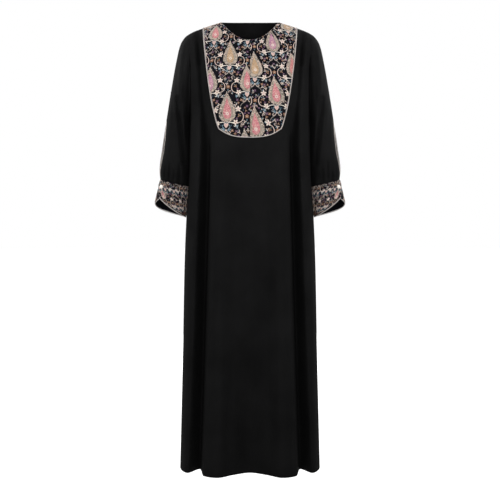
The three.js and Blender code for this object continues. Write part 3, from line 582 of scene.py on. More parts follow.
def whole_sheet(name, sheet, first_column):
    """Both halves of a sheet: yoke, body and sleeves. The yoke may leave the bib's columns out."""
    grids = []
    flips = []
    yoke_rows = np.linspace(0, 1, YOKE_ROWS + 1) ** YOKE_CROWDING
    body_rows = np.linspace(0, 1, BODY_ROWS + 1)
    sleeve_rows = np.linspace(0, 1, SLEEVE_ROWS + 1)
    # closer columns where the cloth turns in to the side seam
    turning = SIDE_COLUMN - TURN_COLUMNS * (1 - np.sin(np.linspace(0, np.pi / 2, TURN_STEPS + 1)))
    body_columns = np.concatenate([even_columns(0, SIDE_COLUMN - TURN_COLUMNS)[:-1], turning])
    sleeve_columns = even_columns(SIDE_COLUMN, LAST_COLUMN)
    foot_columns = body_columns[body_columns > first_column] if first_column else body_columns
    yoke_columns = np.concatenate([foot_columns, sleeve_columns[1:]])
    if first_column:
        yoke_columns = np.concatenate([[first_column], yoke_columns])
    for side in (1, -1):
        for region, columns, rows, place in (
            ("yoke", yoke_columns, yoke_rows, yoke_place),
            ("body", body_columns, body_rows, body_place),
            ("sleeve", sleeve_columns, sleeve_rows, sleeve_place),
        ):
            grids.append(sheet_grid(sheet, side, region, columns, rows, place))
            flips.append((side < 0) == sheet["forward"])
    return cloth_mesh(name, grids, CLOTH, flips)


def new_group(name, inputs, outputs):
    """An empty shader group with its inputs and outputs"""
    group = bpy.data.node_groups.new(name, "ShaderNodeTree")
    for socket, kind, value in inputs:
        made = group.interface.new_socket(socket, in_out="INPUT", socket_type=kind)
        if value is not None:
            made.default_value = value
    for socket, kind in outputs:
        group.interface.new_socket(socket, in_out="OUTPUT", socket_type=kind)
    return group, group.nodes.new("NodeGroupInput"), group.nodes.new("NodeGroupOutput")


def add_math(tree, operation, a, b):
    """A math node of two values, each a socket or a number"""
    node = tree.nodes.new("ShaderNodeMath")
    node.operation = operation
    for socket, value in zip(node.inputs, (a, b)):
        if isinstance(value, (int, float)):
            socket.default_value = value
        else:
            tree.links.new(value, socket)
    return node.outputs[0]


def add_noise(tree, coordinates, scale, detail):
    node = tree.nodes.new("ShaderNodeTexNoise")
    set_sockets(node, {"Scale": scale, "Detail": detail})
    tree.links.new(coordinates, node.inputs["Vector"])
    return node.outputs["Fac"]


def add_wave(tree, coordinates, direction, scale, distortion, detail=2.0):
    node = tree.nodes.new("ShaderNodeTexWave")
    node.bands_direction = direction
    set_sockets(node, {"Scale": scale, "Distortion": distortion, "Detail": detail})
    tree.links.new(coordinates, node.inputs["Vector"])
    return node.outputs["Fac"]


def add_relief(tree, height, strength, distance):
    """A bump of a height, strength and distance in metres, as a normal"""
    node = tree.nodes.new("ShaderNodeBump")
    set_sockets(node, {"Strength": strength, "Distance": distance})
    tree.links.new(height, node.inputs["Height"])
    return node.outputs["Normal"]


# Crepe has a pebbled face: hard-twisted threads that wander a little, over a fine plain weave
crepe_grain, grain_in, grain_out = new_group(
    "crepe grain",
    (("Coordinates", "NodeSocketVector", None), ("Pebble", "NodeSocketFloat", 1.0)),
    (("Height", "NodeSocketFloat"), ("Shade", "NodeSocketFloat")),
)
place = grain_in.outputs["Coordinates"]
pebbles = add_noise(crepe_grain, place, 900, 2)
cloud = add_noise(crepe_grain, place, 9, 3)
warp, weft = [add_wave(crepe_grain, place, direction, 320, 2.5, 1) for direction in ("X", "Z")]
weave = add_math(crepe_grain, "MULTIPLY", warp, weft)
pebbled = add_math(crepe_grain, "MULTIPLY", pebbles, grain_in.outputs["Pebble"])
crepe_grain.links.new(add_math(crepe_grain, "ADD", pebbled, weave), grain_out.inputs["Height"])
# painted highlight: the raised pebbles are painted lighter in the cloth's tone, which otherwise varies at
# random in broad clouds
fine = add_math(crepe_grain, "MULTIPLY", pebbled, 0.45)
crepe_grain.links.new(add_math(crepe_grain, "ADD", fine, cloud), grain_out.inputs["Shade"])


def cloth_material(name, dark, light, pebble, bump, sheen):
    """Woven cloth with the crepe's grain, between a dark and a light tone"""
    material, tree, shader = material_with_shader(name)
    coordinates = tree.nodes.new("ShaderNodeTexCoord")
    grain = tree.nodes.new("ShaderNodeGroup")
    grain.node_tree = crepe_grain
    grain.inputs["Pebble"].default_value = pebble
    tree.links.new(coordinates.outputs["Object"], grain.inputs["Coordinates"])
    # the tone between dark and light carries the pebbles' painted highlight and the random clouds
    tones = add_tones(tree, grain.outputs["Shade"], dark, light, 0.35)
    tree.links.new(tones, shader.inputs["Base Color"])
    relief = add_relief(tree, grain.outputs["Height"], bump, 0.0004)
    tree.links.new(relief, shader.inputs["Normal"])
    set_sockets(shader, {"Roughness": 0.85, "Specular IOR Level": 0.03})
    set_sockets(shader, {"Sheen Weight": sheen, "Sheen Roughness": 0.45})
    return material


crepe = cloth_material("black crepe", (0.0042, 0.0042, 0.0043), (0.0088, 0.0088, 0.009), 1.0, 0.3, 0.006)

front_sheet = {
    "forward": True,
    "neck_squareness": NECK_SQUARENESS,
    "folds": FRONT_FOLDS,
    "creases": FRONT_CREASES,
    "soft_creases": FRONT_SOFT_CREASES,
}
front = whole_sheet("front_crepe", front_sheet, BIB_COLUMN + SEAM_COLUMN_GAP)
front.data.materials.append(crepe)
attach(front, "root")
for node in ("front", "front_sleeve_left", "front_sleeve_right"):
    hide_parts(node)


# ---- Back ----------------------------------------------------------------------------------------------
# The back, cut like the front but whole up to the neck, with shallower folds. Its sleeve halves keep the
# overarm line where the front ones draw back from the slit.
BACK_FOLDS = (
    {"name": "centre valley", "x": 0, "hem_x": 0, "depth": (66, 78, 86, 92, 94, 96, 106)},
    {"name": "panel", "x": 50, "hem_x": 48, "depth": (66, 80, 92, 98, 101, 104, 126)},
    {"name": "flute crest", "x": 90, "hem_x": 96, "depth": (62, 80, 94, 101, 106, 112, 150)},
    {"name": "flute edge", "x": 114, "hem_x": 140, "depth": (60, 76, 88, 94, 97, 100, 128)},
    {"name": "groove", "x": 132, "hem_x": 158, "depth": (58, 70, 81, 77, 68, 58, 54)},
    {"name": "side crest", "x": 158, "hem_x": 196, "depth": (54, 64, 73, 75, 75, 76, 88)},
    {"name": "side", "x": 190, "hem_x": 222, "depth": (50, 57, 60, 60, 62, 66, 78)},
)
BACK_CREASES = (
    {"name": "sleeve drag", "line": ((226, 230), (207, 430)), "width": 14, "depth": 9},
    {"name": "shoulder blade", "line": ((150, 120), (172, 250)), "width": 20, "depth": 8},
)
BACK_NECK_SQUARENESS = 2
# Softer creases: name, (x, drop) at the start, middle and end, width, depth
BACK_SOFT_CREASES = (
    ("left armhole fold", (184, 130), (194, 250), (199, 428), 7, 8),
    ("right armhole fold", (-184, 112), (-192, 230), (-198, 405), 7, 8),
    ("left elbow fold", (236, 250), (218, 340), (205, 425), 7, 6),
    ("right elbow fold", (-233, 275), (-217, 350), (-206, 440), 7, 6),
    ("left shoulder drag", (120, 60), (146, 130), (168, 230), 9, 4),
    ("right shoulder drag", (-112, 52), (-142, 118), (-164, 210), 9, 4),
    ("left pucker", (258, 442), (260, 470), (262, 502), 4, 5),
    ("left inner pucker", (232, 450), (233, 476), (236, 510), 4, 5),
    ("right pucker", (-262, 438), (-263, 468), (-264, 500), 4, 5),
    ("right inner pucker", (-240, 446), (-240, 474), (-243, 507), 4, 5),
    ("centre fold", (6, 330), (-8, 700), (4, 1200), 22, 6),
    ("left body fold", (60, 420), (66, 760), (58, 1130), 16, 5),
    ("right body fold", (-54, 480), (-66, 800), (-64, 1240), 16, 5),
    ("left side fold", (180, 600), (188, 850), (188, 1180), 9, 5),
    ("right side fold", (-178, 560), (-186, 800), (-190, 1220), 9, 5),
)
back_sheet = {
    "forward": False,
    "neck_squareness": BACK_NECK_SQUARENESS,
    "folds": BACK_FOLDS,
    "creases": BACK_CREASES,
    "soft_creases": BACK_SOFT_CREASES,
}
back = whole_sheet("back_crepe", back_sheet, 0)
back.data.materials.append(crepe)
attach(back, "root")
for node in ("back", "back_sleeve_left", "back_sleeve_right"):
    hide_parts(node)


# ---- Bib -----------------------------------------------------------------------------------------------
# A U-shaped panel of black cloth let into the front from shoulder to shoulder, in two halves joined by a
# seam down the middle, each cut from cloth that was worked all over before it was cut.
BIB_CLOTH = 1.8
BIB_ROWS = 90
BIB_COLUMN_STEPS = 64

worked_ground = cloth_material(
    "black ground of the worked cloth", (0.003, 0.003, 0.0042), (0.0085, 0.008, 0.011), 0.8, 0.3, 0.02
)

for side, name in ((1, "left"), (-1, "right")):
    bib_columns = np.linspace(SEAM_COLUMN_GAP, BIB_COLUMN - SEAM_COLUMN_GAP, BIB_COLUMN_STEPS + 1)
    bib_rows = np.linspace(0, 1, BIB_ROWS + 1) ** YOKE_CROWDING
    grid = sheet_grid(front_sheet, side, "yoke", bib_columns, bib_rows, yoke_place)
    bib = cloth_mesh(f"bib_{name}_ground", [grid], BIB_CLOTH, [side < 0])
    bib.data.materials.append(worked_ground)
    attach(bib, "root")
    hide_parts(f"bib_{name}")


# ---- Needlework of the bib -----------------------------------------------------------------------------
# Silk thread worked over the black ground: rows of paisley drops, each row a half step below its
# neighbour and each drop bordered with knots, with scrolls, leaves and small flowers between them.
THREAD_SINK = 0.25
THREAD_SHADES = (0.8, 1.14)

THREADS = {
    "cream": (0.62, 0.49, 0.42),
    "pale": (0.47, 0.44, 0.39),
    "bead": (0.3, 0.275, 0.24),
    "ivory": (0.72, 0.65, 0.58),
    "gap": (0.035, 0.026, 0.026),
    "rose": (0.52, 0.17, 0.19),
    "deep rose": (0.36, 0.055, 0.1),
    "blush": (0.58, 0.33, 0.3),
    "gold": (0.42, 0.27, 0.15),
    "pale gold": (0.5, 0.37, 0.25),
    "bronze": (0.24, 0.14, 0.06),
    "plum": (0.2, 0.07, 0.16),
    "mauve": (0.42, 0.2, 0.29),
    "rust": (0.27, 0.12, 0.06),
    "tan": (0.3, 0.17, 0.1),
    "teal": (0.035, 0.085, 0.115),
    "mist": (0.15, 0.24, 0.3),
    "sage": (0.1, 0.16, 0.13),
    "violet": (0.035, 0.022, 0.05),
    "navy": (0.02, 0.035, 0.07),
}
# Threads of a drop's field: its rim, its middle, and the marks worked over it
FIELDS = {
    "rose": ("rose", "blush", "deep rose"),
    "gold": ("gold", "pale gold", "bronze"),
    "plum": ("mauve", "blush", "plum"),
    "rust": ("rose", "tan", "rust"),
}


class Needlework:
    """Raised stitching drawn flat, across and up in millimetres, and gathered for one mesh"""

    def __init__(self, seed):
        self.points = []
        self.faces = []
        self.colours = []
        self.runs = []
        self.taken = []
        self.drops = []
        self.count = 0
        self.random = np.random.default_rng(seed)

    def add(self, across_up, heights, faces, colours, runs):
        self.points.append(np.column_stack([across_up, heights]))
        self.faces += [tuple(self.count + i for i in face) for face in faces]
        shades = np.asarray(colours, float) * self.random.uniform(*THREAD_SHADES, (len(across_up), 1))
        self.colours.append(shades)
        self.runs.append(np.asarray(runs, float))
        self.count += len(across_up)

    def pad(self, outline, centre, height, colours, rings=(1.0, 0.7), grain=90):
        """A satin-stitched shape, rounded up from its rim. colours go from the rim to the middle, and the
        stitches lie side by side in the direction of grain"""
        outline = np.asarray(outline, float)
        centre = np.asarray(centre, float)
        size = len(outline)
        tones = np.array([THREADS[c] for c in colours])
        places, heights, shades = [], [], []
        for ring in rings:
            places.append(centre + (outline - centre) * ring)
            heights += [-THREAD_SINK if ring == 1.0 else height * math.sqrt(1 - ring**2 * 0.8)] * size
            tone = [np.interp(1 - ring, np.linspace(0, 1, len(tones)), tones[:, i]) for i in range(3)]
            shades += [tone] * size
        places.append(centre[None, :])
        heights.append(height)
        shades.append(tones[-1])
        faces = []
        for r in range(len(rings) - 1):
            for i in range(size):
                j = (i + 1) % size
                faces.append((r * size + i, r * size + j, (r + 1) * size + j, (r + 1) * size + i))
        inner = (len(rings) - 1) * size
        faces += [(inner + i, inner + (i + 1) % size, len(rings) * size) for i in range(size)]
        places = np.vstack(places)
        self.taken.append(centre)
        side_by_side = (math.cos(math.radians(grain)), math.sin(math.radians(grain)))
        self.add(places, heights, faces, shades, places @ side_by_side)

    def line(self, path, width, height, colour, tapered=True):
        """A corded line along a path, round in section and narrowing at both ends"""
        path = np.asarray(path, float)
        step = np.gradient(path, axis=0)
        step /= np.maximum(np.linalg.norm(step, axis=1, keepdims=True), 1e-9)
        normal = np.column_stack([-step[:, 1], step[:, 0]])
        share = np.linspace(0, 1, len(path))
        swell = 0.35 + 0.65 * np.sin(np.pi * share) ** 0.5 if tapered else np.ones(len(path))
        half = 0.5 * width * swell
        places = np.stack([path + normal * (half * side)[:, None] for side, _ in CORD_SECTION], axis=1)
        rises = [-THREAD_SINK if rise < 0 else rise * height for _, rise in CORD_SECTION]
        across = len(CORD_SECTION)
        faces = []
        for i in range(len(path) - 1):
            for j in range(across - 1):
                a = i * across + j
                faces.append((a + 1, a, a + across, a + across + 1))
        lengths = np.concatenate([[0], np.cumsum(np.linalg.norm(np.diff(path, axis=0), axis=1))])
        runs = np.repeat(lengths, across) + 0.4 * np.tile(range(across), len(path))
        colours = np.tile(THREADS[colour], (len(path) * across, 1))
        self.taken += list(path[::2])
        self.add(places.reshape(-1, 2), np.tile(rises, len(path)), faces, colours, runs)


# Places across a cord and their share of its height; the two edges are sunk in the ground
CORD_SECTION = ((-1, -1), (-0.62, 0.75), (0, 1), (0.62, 0.75), (1, -1))


def turned(points, angle, at):
    """Points turned by an angle in degrees and moved"""
    c, s = math.cos(math.radians(angle)), math.sin(math.radians(angle))
    return np.asarray(points, float) @ np.array([[c, s], [-s, c]]) + np.asarray(at, float)


def drop_outline(width, height, points):
    """A paisley drop with its tip up, about the middle of its height"""
    angle = np.linspace(0, 2 * np.pi, points, endpoint=False)
    across = np.sin(angle) * np.abs(np.sin(angle / 2)) ** 1.6
    across *= width / 2 / across.max()
    return np.column_stack([-across, height / 2 * np.cos(angle)])


def leaf(work, at, angle, length, width, colours, height=0.6):
    """A pointed leaf from a place in a direction"""
    share = np.linspace(0, 1, 5)
    half = width / 2 * np.sin(np.pi * share) ** 0.8
    lower = np.column_stack([length * share, -half])
    upper = np.column_stack([length * share, half])[::-1][1:-1]
    outline = turned(np.vstack([lower, upper]), angle, at)
    work.pad(outline, outline.mean(axis=0), height, colours, grain=angle)


def knot(work, at, radius, colours, height=0.9):
    angles = np.linspace(0, 2 * np.pi, 7, endpoint=False)
    outline = np.column_stack([radius * np.cos(angles), radius * np.sin(angles)]) + at
    work.pad(outline, at, height, colours)


def flower(work, at, petals, reach, width, angle, colours, heart, height=0.65):
    for n in range(petals):
        leaf(work, at, angle + 360 * n / petals, reach, width, colours, height)
    knot(work, at, 0.24 * reach, (heart, heart), height + 0.35)


def two_tone_leaf(work, at, angle, length, width):
    """A pale leaf with a darker one folded behind it"""
    leaf(work, at, angle - 14, length * 0.94, width, ("teal", "mist"))
    leaf(work, at, angle + 10, length, width * 0.45, ("mist", "pale"), 0.8)


def ring_points(centre, radius, start, end, points):
    angles = np.radians(np.linspace(start, end, points))
    return np.column_stack([centre[0] + radius * np.cos(angles), centre[1] + radius * np.sin(angles)])


def bend(points, steps=12):
    """A smooth line through a few places"""
    points = np.asarray(points, float)
    t = np.linspace(0, len(points) - 1, steps)
    knots = np.arange(len(points))
    return np.column_stack([curve_through(knots, points[:, i], t) for i in range(2)])


# A drop's size and lean, the places of its middle and its flower, and how finely its outline is drawn
DROP_WIDTH = 44
DROP_HEIGHT = 84
DROP_LEAN = 4
DROP_LOW = (0, -0.2 * DROP_HEIGHT)
DROP_HEART = (0, -20)
DROP_POINTS = 44
# Rows of knots round a drop: their size against its outline, and the threads they are worked in, with
# how often each comes
BORDER_ROWS = (0.97, 0.87, 0.77)
BORDER_TONES = (("bead", "pale"), ("pale", "cream"), ("bead", "bead"), ("gap", "bead"), ("cream", "cream"))
BORDER_ODDS = (0.22, 0.32, 0.08, 0.2, 0.18)
BORDER_KNOT = 1.7
KNOT_STEP = 4.1
# The field inside them, across and up against the outline, and its stitches
FIELD_SHARE = (0.53, 0.74)
FIELD_STEP = 3.3
FIELD_KNOT = 1.5
FIELD_ODDS = (0.3, 0.3, 0.24, 0.16)
HEART_PETALS = 6
HEART_KNOTS = 7
HEART_KNOT_REACH = 8.4


def drop(work, at, field, size=1.0):
    """A paisley drop: rows of mottled knots round a field of small stitches, with a flower low down"""
    rim, middle, mark = FIELDS[field]
    outline = size * drop_outline(DROP_WIDTH, DROP_HEIGHT, DROP_POINTS)
    low = size * np.array(DROP_LOW)

    def leaning(points):
        return turned(points, DROP_LEAN, at)

    work.drops.append(np.asarray(at, float))
    work.pad(leaning(outline), leaning(low), 0.25, ("bronze", "bead", "bronze"), rings=(1.0, 0.95, 0.6))
    lengths = np.concatenate([[0], np.cumsum(np.linalg.norm(np.diff(outline, axis=0), axis=1))])
    for row, scale in enumerate(BORDER_ROWS):
        for distance in np.arange(0.5 * KNOT_STEP * (row % 2), lengths[-1] * scale, KNOT_STEP) / scale:
            edge = np.array([np.interp(distance, lengths, outline[:, i]) for i in range(2)])
            tones = BORDER_TONES[work.random.choice(len(BORDER_TONES), p=BORDER_ODDS)]
            knot(work, leaning(low + (edge - low) * scale), BORDER_KNOT, tones, 0.8)
    inner = low + (outline - low) * FIELD_SHARE
    work.pad(leaning(inner), leaning(low), 0.55, (rim, rim, middle), rings=(1.0, 0.92, 0.7, 0.45, 0.2))
    reach = np.abs(inner).max(axis=0) + 1
    one_side = inner[DROP_POINTS // 2::-1]
    field_tones = ((rim, middle), (middle, "cream"), (mark, rim), (mark, mark))
    for x in np.arange(-reach[0], reach[0], FIELD_STEP):
        for y in np.arange(-reach[1], reach[1], FIELD_STEP):
            place = np.array((x, y)) + work.random.uniform(-1, 1, 2)
            room = np.interp(place[1], one_side[:, 1], np.abs(one_side[:, 0])) - np.abs(place[0])
            tones = field_tones[work.random.choice(len(field_tones), p=FIELD_ODDS)]
            if room > 1.2:
                knot(work, leaning(place), FIELD_KNOT, tones, 1.0)
    heart = leaning(size * np.array(DROP_HEART))
    flower(work, heart, HEART_PETALS, 6.5 * size, 3.6 * size, 30, ("cream", "ivory"), mark, 1.2)
    for n in range(HEART_KNOTS):
        angle = math.radians(n * 360 / HEART_KNOTS)
        beside = HEART_KNOT_REACH * size * np.array((math.cos(angle), math.sin(angle)))
        knot(work, heart + beside, 1.1, ("cream", "cream"), 1.3)
    knot(work, heart, 0.9, (mark, mark), 1.8)


# A bell flower seen from the side, about the middle of its mouth
BELL = (
    (-6, 4.5), (-6, -1), (-3, -5.5), (0, -9), (3, -5.5), (6, -1), (6, 4.5), (3, 5.5), (0, 3), (-3, 5.5),
)


def sprays(work, at):
    """What grows below a drop and frames the tip of the next one in its row"""
    at = np.asarray(at, float)
    leaf(work, at + (0, -40.5), -90, 6, 3.2, ("mist", "pale"))
    work.pad(at + (0, -50) + np.array(BELL), at + (0, -51), 0.9, ("cream", "blush"), rings=(1.0, 0.85, 0.5))
    leaf(work, at + (0, -60), -90, 8, 3.0, ("cream", "ivory"), 0.8)
    flower(work, at + (0, -84), 4, 4.8, 3.4, 45, ("violet", "plum"), "bead")
    flower(work, at + (0, -112), 5, 6.6, 4.6, 90, ("rust", "tan"), "cream")
    leaf(work, at + (0, -118), -90, 7, 4.0, ("teal", "mist"))
    for way in (1, -1):
        def beside(x, y):
            return at + (way * x, y)

        def turn(angle):
            return angle if way > 0 else 180 - angle

        arms = ((1, -46.5), (8, -43), (18, -44.5), (25, -50), (22.5, -54), (19.5, -51.5))
        work.line(bend([beside(*p) for p in arms], 22), 2.5, 0.95, "ivory")
        leaf(work, beside(2, -44), turn(-28), 8, 3.2, ("navy", "teal"))
        leaf(work, beside(7, -48), turn(-62), 9, 3.4, ("teal", "mist"))
        leaf(work, beside(13, -48), turn(-78), 7, 3.0, ("navy", "teal"))
        flower(work, beside(27, -67), 4, 5.0, 3.6, turn(45), ("violet", "plum"), "bead")
        two_tone_leaf(work, beside(1.5, -67), turn(42), 17, 6.0)
        curl = ((0.5, -62), (4, -69), (9, -72.5), (12, -69.5), (9.5, -67), (7.8, -69))
        work.line(bend([beside(*p) for p in curl], 18), 1.7, 0.85, "cream")
        sweep = ((2, -70), (9, -74), (15, -79), (19, -86))
        work.line(bend([beside(*p) for p in sweep], 12), 1.5, 0.85, "bead")
        # the oval scroll that hangs between two star flowers, and what it holds
        scroll = ring_points((0, 0), 1, 105, 285, 28) * (12.6, 15.5) + (22, -113)
        work.line(scroll * (way, 1) + at, 2.3, 1.0, "cream")
        flower(work, beside(24, -92), 5, 9.4, 5.4, turn(18), ("cream", "ivory"), "blush", 0.8)
        flower(work, beside(30, -128), 5, 8.8, 5.2, turn(54), ("cream", "ivory"), "tan", 0.8)
        flower(work, beside(21, -110), 3, 5.6, 4.0, turn(70), ("rust", "tan"), "sage")
        flower(work, beside(27, -118), 4, 4.0, 2.8, turn(20), ("violet", "plum"), "bead")
        leaf(work, beside(15, -104), turn(-20), 6, 2.6, ("sage", "mist"))
        two_tone_leaf(work, beside(22, -134), turn(-58), 13, 4.8)
        leaf(work, beside(29, -134), turn(-118), 12, 3.6, ("mist", "pale"))
        flower(work, beside(38, -150), 4, 4.8, 3.4, turn(30), ("rust", "tan"), "cream")
        flower(work, beside(30, -158), 4, 4.2, 3.0, turn(10), ("rust", "tan"), "bead")
        leaf(work, beside(9, -98), turn(70), 6, 2.6, ("navy", "teal"))
        leaf(work, beside(8, -122), turn(-34), 6, 2.4, ("navy", "violet"))


# Seeds stand about this far apart, and keep this far from all other work
SEED_STEP = 7.4
SEED_SHIFT = 2.4
SEED_ROOM = 4.8


def scatter_seeds(work, low, high):
    """Small dark flowers, leaves and knots in what is left of the ground between two corners"""
    taken = np.array(work.taken)
    drops = np.array(work.drops)
    for x in np.arange(low[0], high[0], SEED_STEP):
        for y in np.arange(low[1], high[1], SEED_STEP):
            at = np.array((x, y)) + work.random.uniform(-SEED_SHIFT, SEED_SHIFT, 2)
            kind, angle = work.random.integers(0, 8), work.random.uniform(0, 360)
            inside = (np.abs((at - drops) / (DROP_WIDTH / 2 + 1, DROP_HEIGHT / 2)) ** 2).sum(axis=1) < 0.72
            low_part = np.hypot(*(at - drops - (0, -0.22 * DROP_HEIGHT)).T) < DROP_WIDTH / 2 + 1
            if inside.any() or low_part.any() or np.hypot(*(taken - at).T).min() < SEED_ROOM:
                continue
            if kind == 0:
                flower(work, at, 4, 3.8, 2.8, angle, ("violet", "plum"), "bead")
            elif kind == 1:
                flower(work, at, 3, 3.8, 2.6, angle, ("rust", "tan"), "pale")
            elif kind in (2, 3):
                flower(work, at, 3, 5.2, 2.7, angle, ("cream", "ivory"), "tan")
                leaf(work, at, angle + 60, 6.5, 2.4, ("teal", "mist"))
            elif kind in (4, 5):
                leaf(work, at, angle, 8, 2.8, ("teal", "mist"))
                leaf(work, at, angle + 40, 7, 2.0, ("cream", "pale"))
            elif kind == 6:
                curl = ring_points(at, 3.6, angle, angle + 230, 12)
                work.line(curl, 1.5, 0.8, "cream")
                knot(work, at, 1.0, ("cream", "cream"))
            else:
                leaf(work, at, angle, 7, 3.0, ("navy", "teal"))
                knot(work, at, 1.3, ("cream", "cream"))


# The flat cloth is u across and v up: v is measured along the cloth from the bib's foot, so that the work
# keeps its size where the cloth rounds over the shoulder. These tables turn u and v into heights.
FLAT_HALF_WIDTH = 156
FLAT_U = np.linspace(-FLAT_HALF_WIDTH, FLAT_HALF_WIDTH, FLAT_HALF_WIDTH + 1)
FLAT_FOOT = -BIB_BOTTOM_DROP - 6
HEIGHT_STEPS = 1200
FLAT_STEPS = 900
flat_z = np.linspace(FLAT_FOOT, 2, HEIGHT_STEPS)
shoulder_z = np.where(
    np.abs(FLAT_U) < NECK_HALF_WIDTH,
    -NECK_FRONT_DROP * np.clip(1 - np.abs(FLAT_U / NECK_HALF_WIDTH) ** NECK_SQUARENESS, 0, 1),
    -along(OUTLINE_BY_X, np.abs(FLAT_U)),
)
grid_u, grid_z = np.meshgrid(FLAT_U, flat_z, indexing="ij")
grid_z = np.minimum(grid_z, shoulder_z[:, None])
grid_depth = depth_at(front_sheet, "yoke", grid_u, grid_z)
climb = np.hypot(np.diff(grid_z, axis=1), np.diff(grid_depth, axis=1))
flat_v = FLAT_FOOT + np.concatenate([np.zeros((len(FLAT_U), 1)), np.cumsum(climb, axis=1)], axis=1)
flat_top = flat_v[:, -1]
FLAT_V = np.linspace(FLAT_FOOT, flat_top.max(), FLAT_STEPS)
height_table = np.array([np.interp(FLAT_V, flat_v[i], grid_z[i]) for i in range(len(FLAT_U))])


def height_on_front(u, v):
    """Height of the front at flat places, read between the points of the table"""
    i = np.clip((u - FLAT_U[0]) / (FLAT_U[1] - FLAT_U[0]), 0, len(FLAT_U) - 1.001)
    j = np.clip((v - FLAT_V[0]) / (FLAT_V[1] - FLAT_V[0]), 0, len(FLAT_V) - 1.001)
    a, b = i.astype(int), j.astype(int)
    low = mix(height_table[a, b], height_table[a + 1, b], i - a)
    high = mix(height_table[a, b + 1], height_table[a + 1, b + 1], i - a)
    return mix(low, high, j - b)


SLOPE_STEP = 0.4


def front_points(x, z, lift):
    """Points of the front's outer face at places of the front view, lifted off it"""
    depth, right, left, below = [
        depth_at(front_sheet, "yoke", x + dx, z + dz)
        for dx, dz in ((0, 0), (SLOPE_STEP, 0), (-SLOPE_STEP, 0), (0, -SLOPE_STEP))
    ]
    slope_x = (right - left) / (2 * SLOPE_STEP)
    slope_z = (depth - below) / SLOPE_STEP
    normal = -np.stack([slope_x, np.ones_like(depth), slope_z], axis=-1)
    normal /= np.linalg.norm(normal, axis=-1, keepdims=True)
    return np.stack([x, -depth, z], axis=-1) + normal * np.asarray(lift)[..., None]


# The work keeps clear of the bib's edges. It is a little smaller than it was drawn, and grows down the bib.
EDGE_MARGIN = 1.0
WORK_ACROSS = 0.88
WORK_ACROSS_GROWTH = 0.0009
WORK_DOWN = 0.8
WORK_DOWN_GROWTH = 0.00055


def on_bib(side):
    """Turns flat points of the needlework into points on one half of the bib, trimmed to its edges"""
    def place(points):
        down = -points[:, 1]
        u = points[:, 0] * (WORK_ACROSS + WORK_ACROSS_GROWTH * down)
        v = -(WORK_DOWN * down + WORK_DOWN_GROWTH * down * np.abs(down))
        z = height_on_front(u, v)
        reach = along(BIB_SIDE, -z) - EDGE_MARGIN
        half = np.clip(side * u, SEAM_GAP, reach)
        foot = -BIB_BOTTOM_DROP + BIB_CORNER_RISE * (half / BIB_FOOT_HALF_WIDTH) ** 3 + EDGE_MARGIN
        top = np.interp(half, FLAT_U, flat_top) - EDGE_MARGIN
        v = np.clip(v, foot, top)
        u = side * half
        return front_points(u, height_on_front(u, v), points[:, 2])

    return place


def thread_material():
    """Silk thread: the colour of each stitch is on the mesh, and fine parallel stitches stand in relief,
    with painted sheen that makes the colour lighter and darker along them
    """
    material, tree, shader = material_with_shader("worked silk thread")
    colour = tree.nodes.new("ShaderNodeAttribute")
    colour.attribute_name = "thread"
    run = tree.nodes.new("ShaderNodeAttribute")
    run.attribute_name = "run"
    ridges = add_math(tree, "SINE", add_math(tree, "MULTIPLY", run.outputs["Fac"], 9.0), 0.0)
    # painted sheen: the thread's colour is scaled lighter and darker along the stitch ridges
    tone = tree.nodes.new("ShaderNodeMapRange")
    set_sockets(tone, {"From Min": -1, "To Min": 0.8, "To Max": 1.08})
    tree.links.new(ridges, tone.inputs["Value"])
    sheen_painted_colour = tree.nodes.new("ShaderNodeVectorMath")
    sheen_painted_colour.operation = "SCALE"
    tree.links.new(colour.outputs["Color"], sheen_painted_colour.inputs["Vector"])
    tree.links.new(tone.outputs["Result"], sheen_painted_colour.inputs["Scale"])
    tree.links.new(sheen_painted_colour.outputs["Vector"], shader.inputs["Base Color"])
    tree.links.new(add_relief(tree, ridges, 0.4, 0.0002), shader.inputs["Normal"])
    set_sockets(shader, {"Roughness": 0.5, "Specular IOR Level": 0.3})
    return material


silk_thread = thread_material()


SLIVER = 0.004


def needlework_piece(name, work, place):
    """One mesh of the gathered stitching, laid on the cloth by place. What place brings to the cloth's edge
    is squeezed flat there and dropped."""
    flat = np.vstack(work.points)
    points = place(flat) * MM
    mesh = bpy.data.meshes.new(name)
    mesh.from_pydata(points.tolist(), [], work.faces)
    thread = mesh.attributes.new("thread", "FLOAT_COLOR", "POINT")
    colours = np.column_stack([np.vstack(work.colours), np.ones(len(flat))])
    thread.data.foreach_set("color", colours.astype(np.float32).ravel())
    run = mesh.attributes.new("run", "FLOAT", "POINT")
    run.data.foreach_set("value", np.concatenate(work.runs).astype(np.float32))
    build = bmesh.new()
    build.from_mesh(mesh)
    slivers = [face for face in build.faces if face.calc_area() < SLIVER * MM * MM]
    bmesh.ops.delete(build, geom=slivers, context="FACES")
    build.to_mesh(mesh)
    build.free()
    mesh.shade_smooth()
    mesh.materials.append(silk_thread)
    piece = bpy.data.objects.new(name, mesh)
    bpy.context.scene.collection.objects.link(piece)
    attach(piece, "root")
    return piece


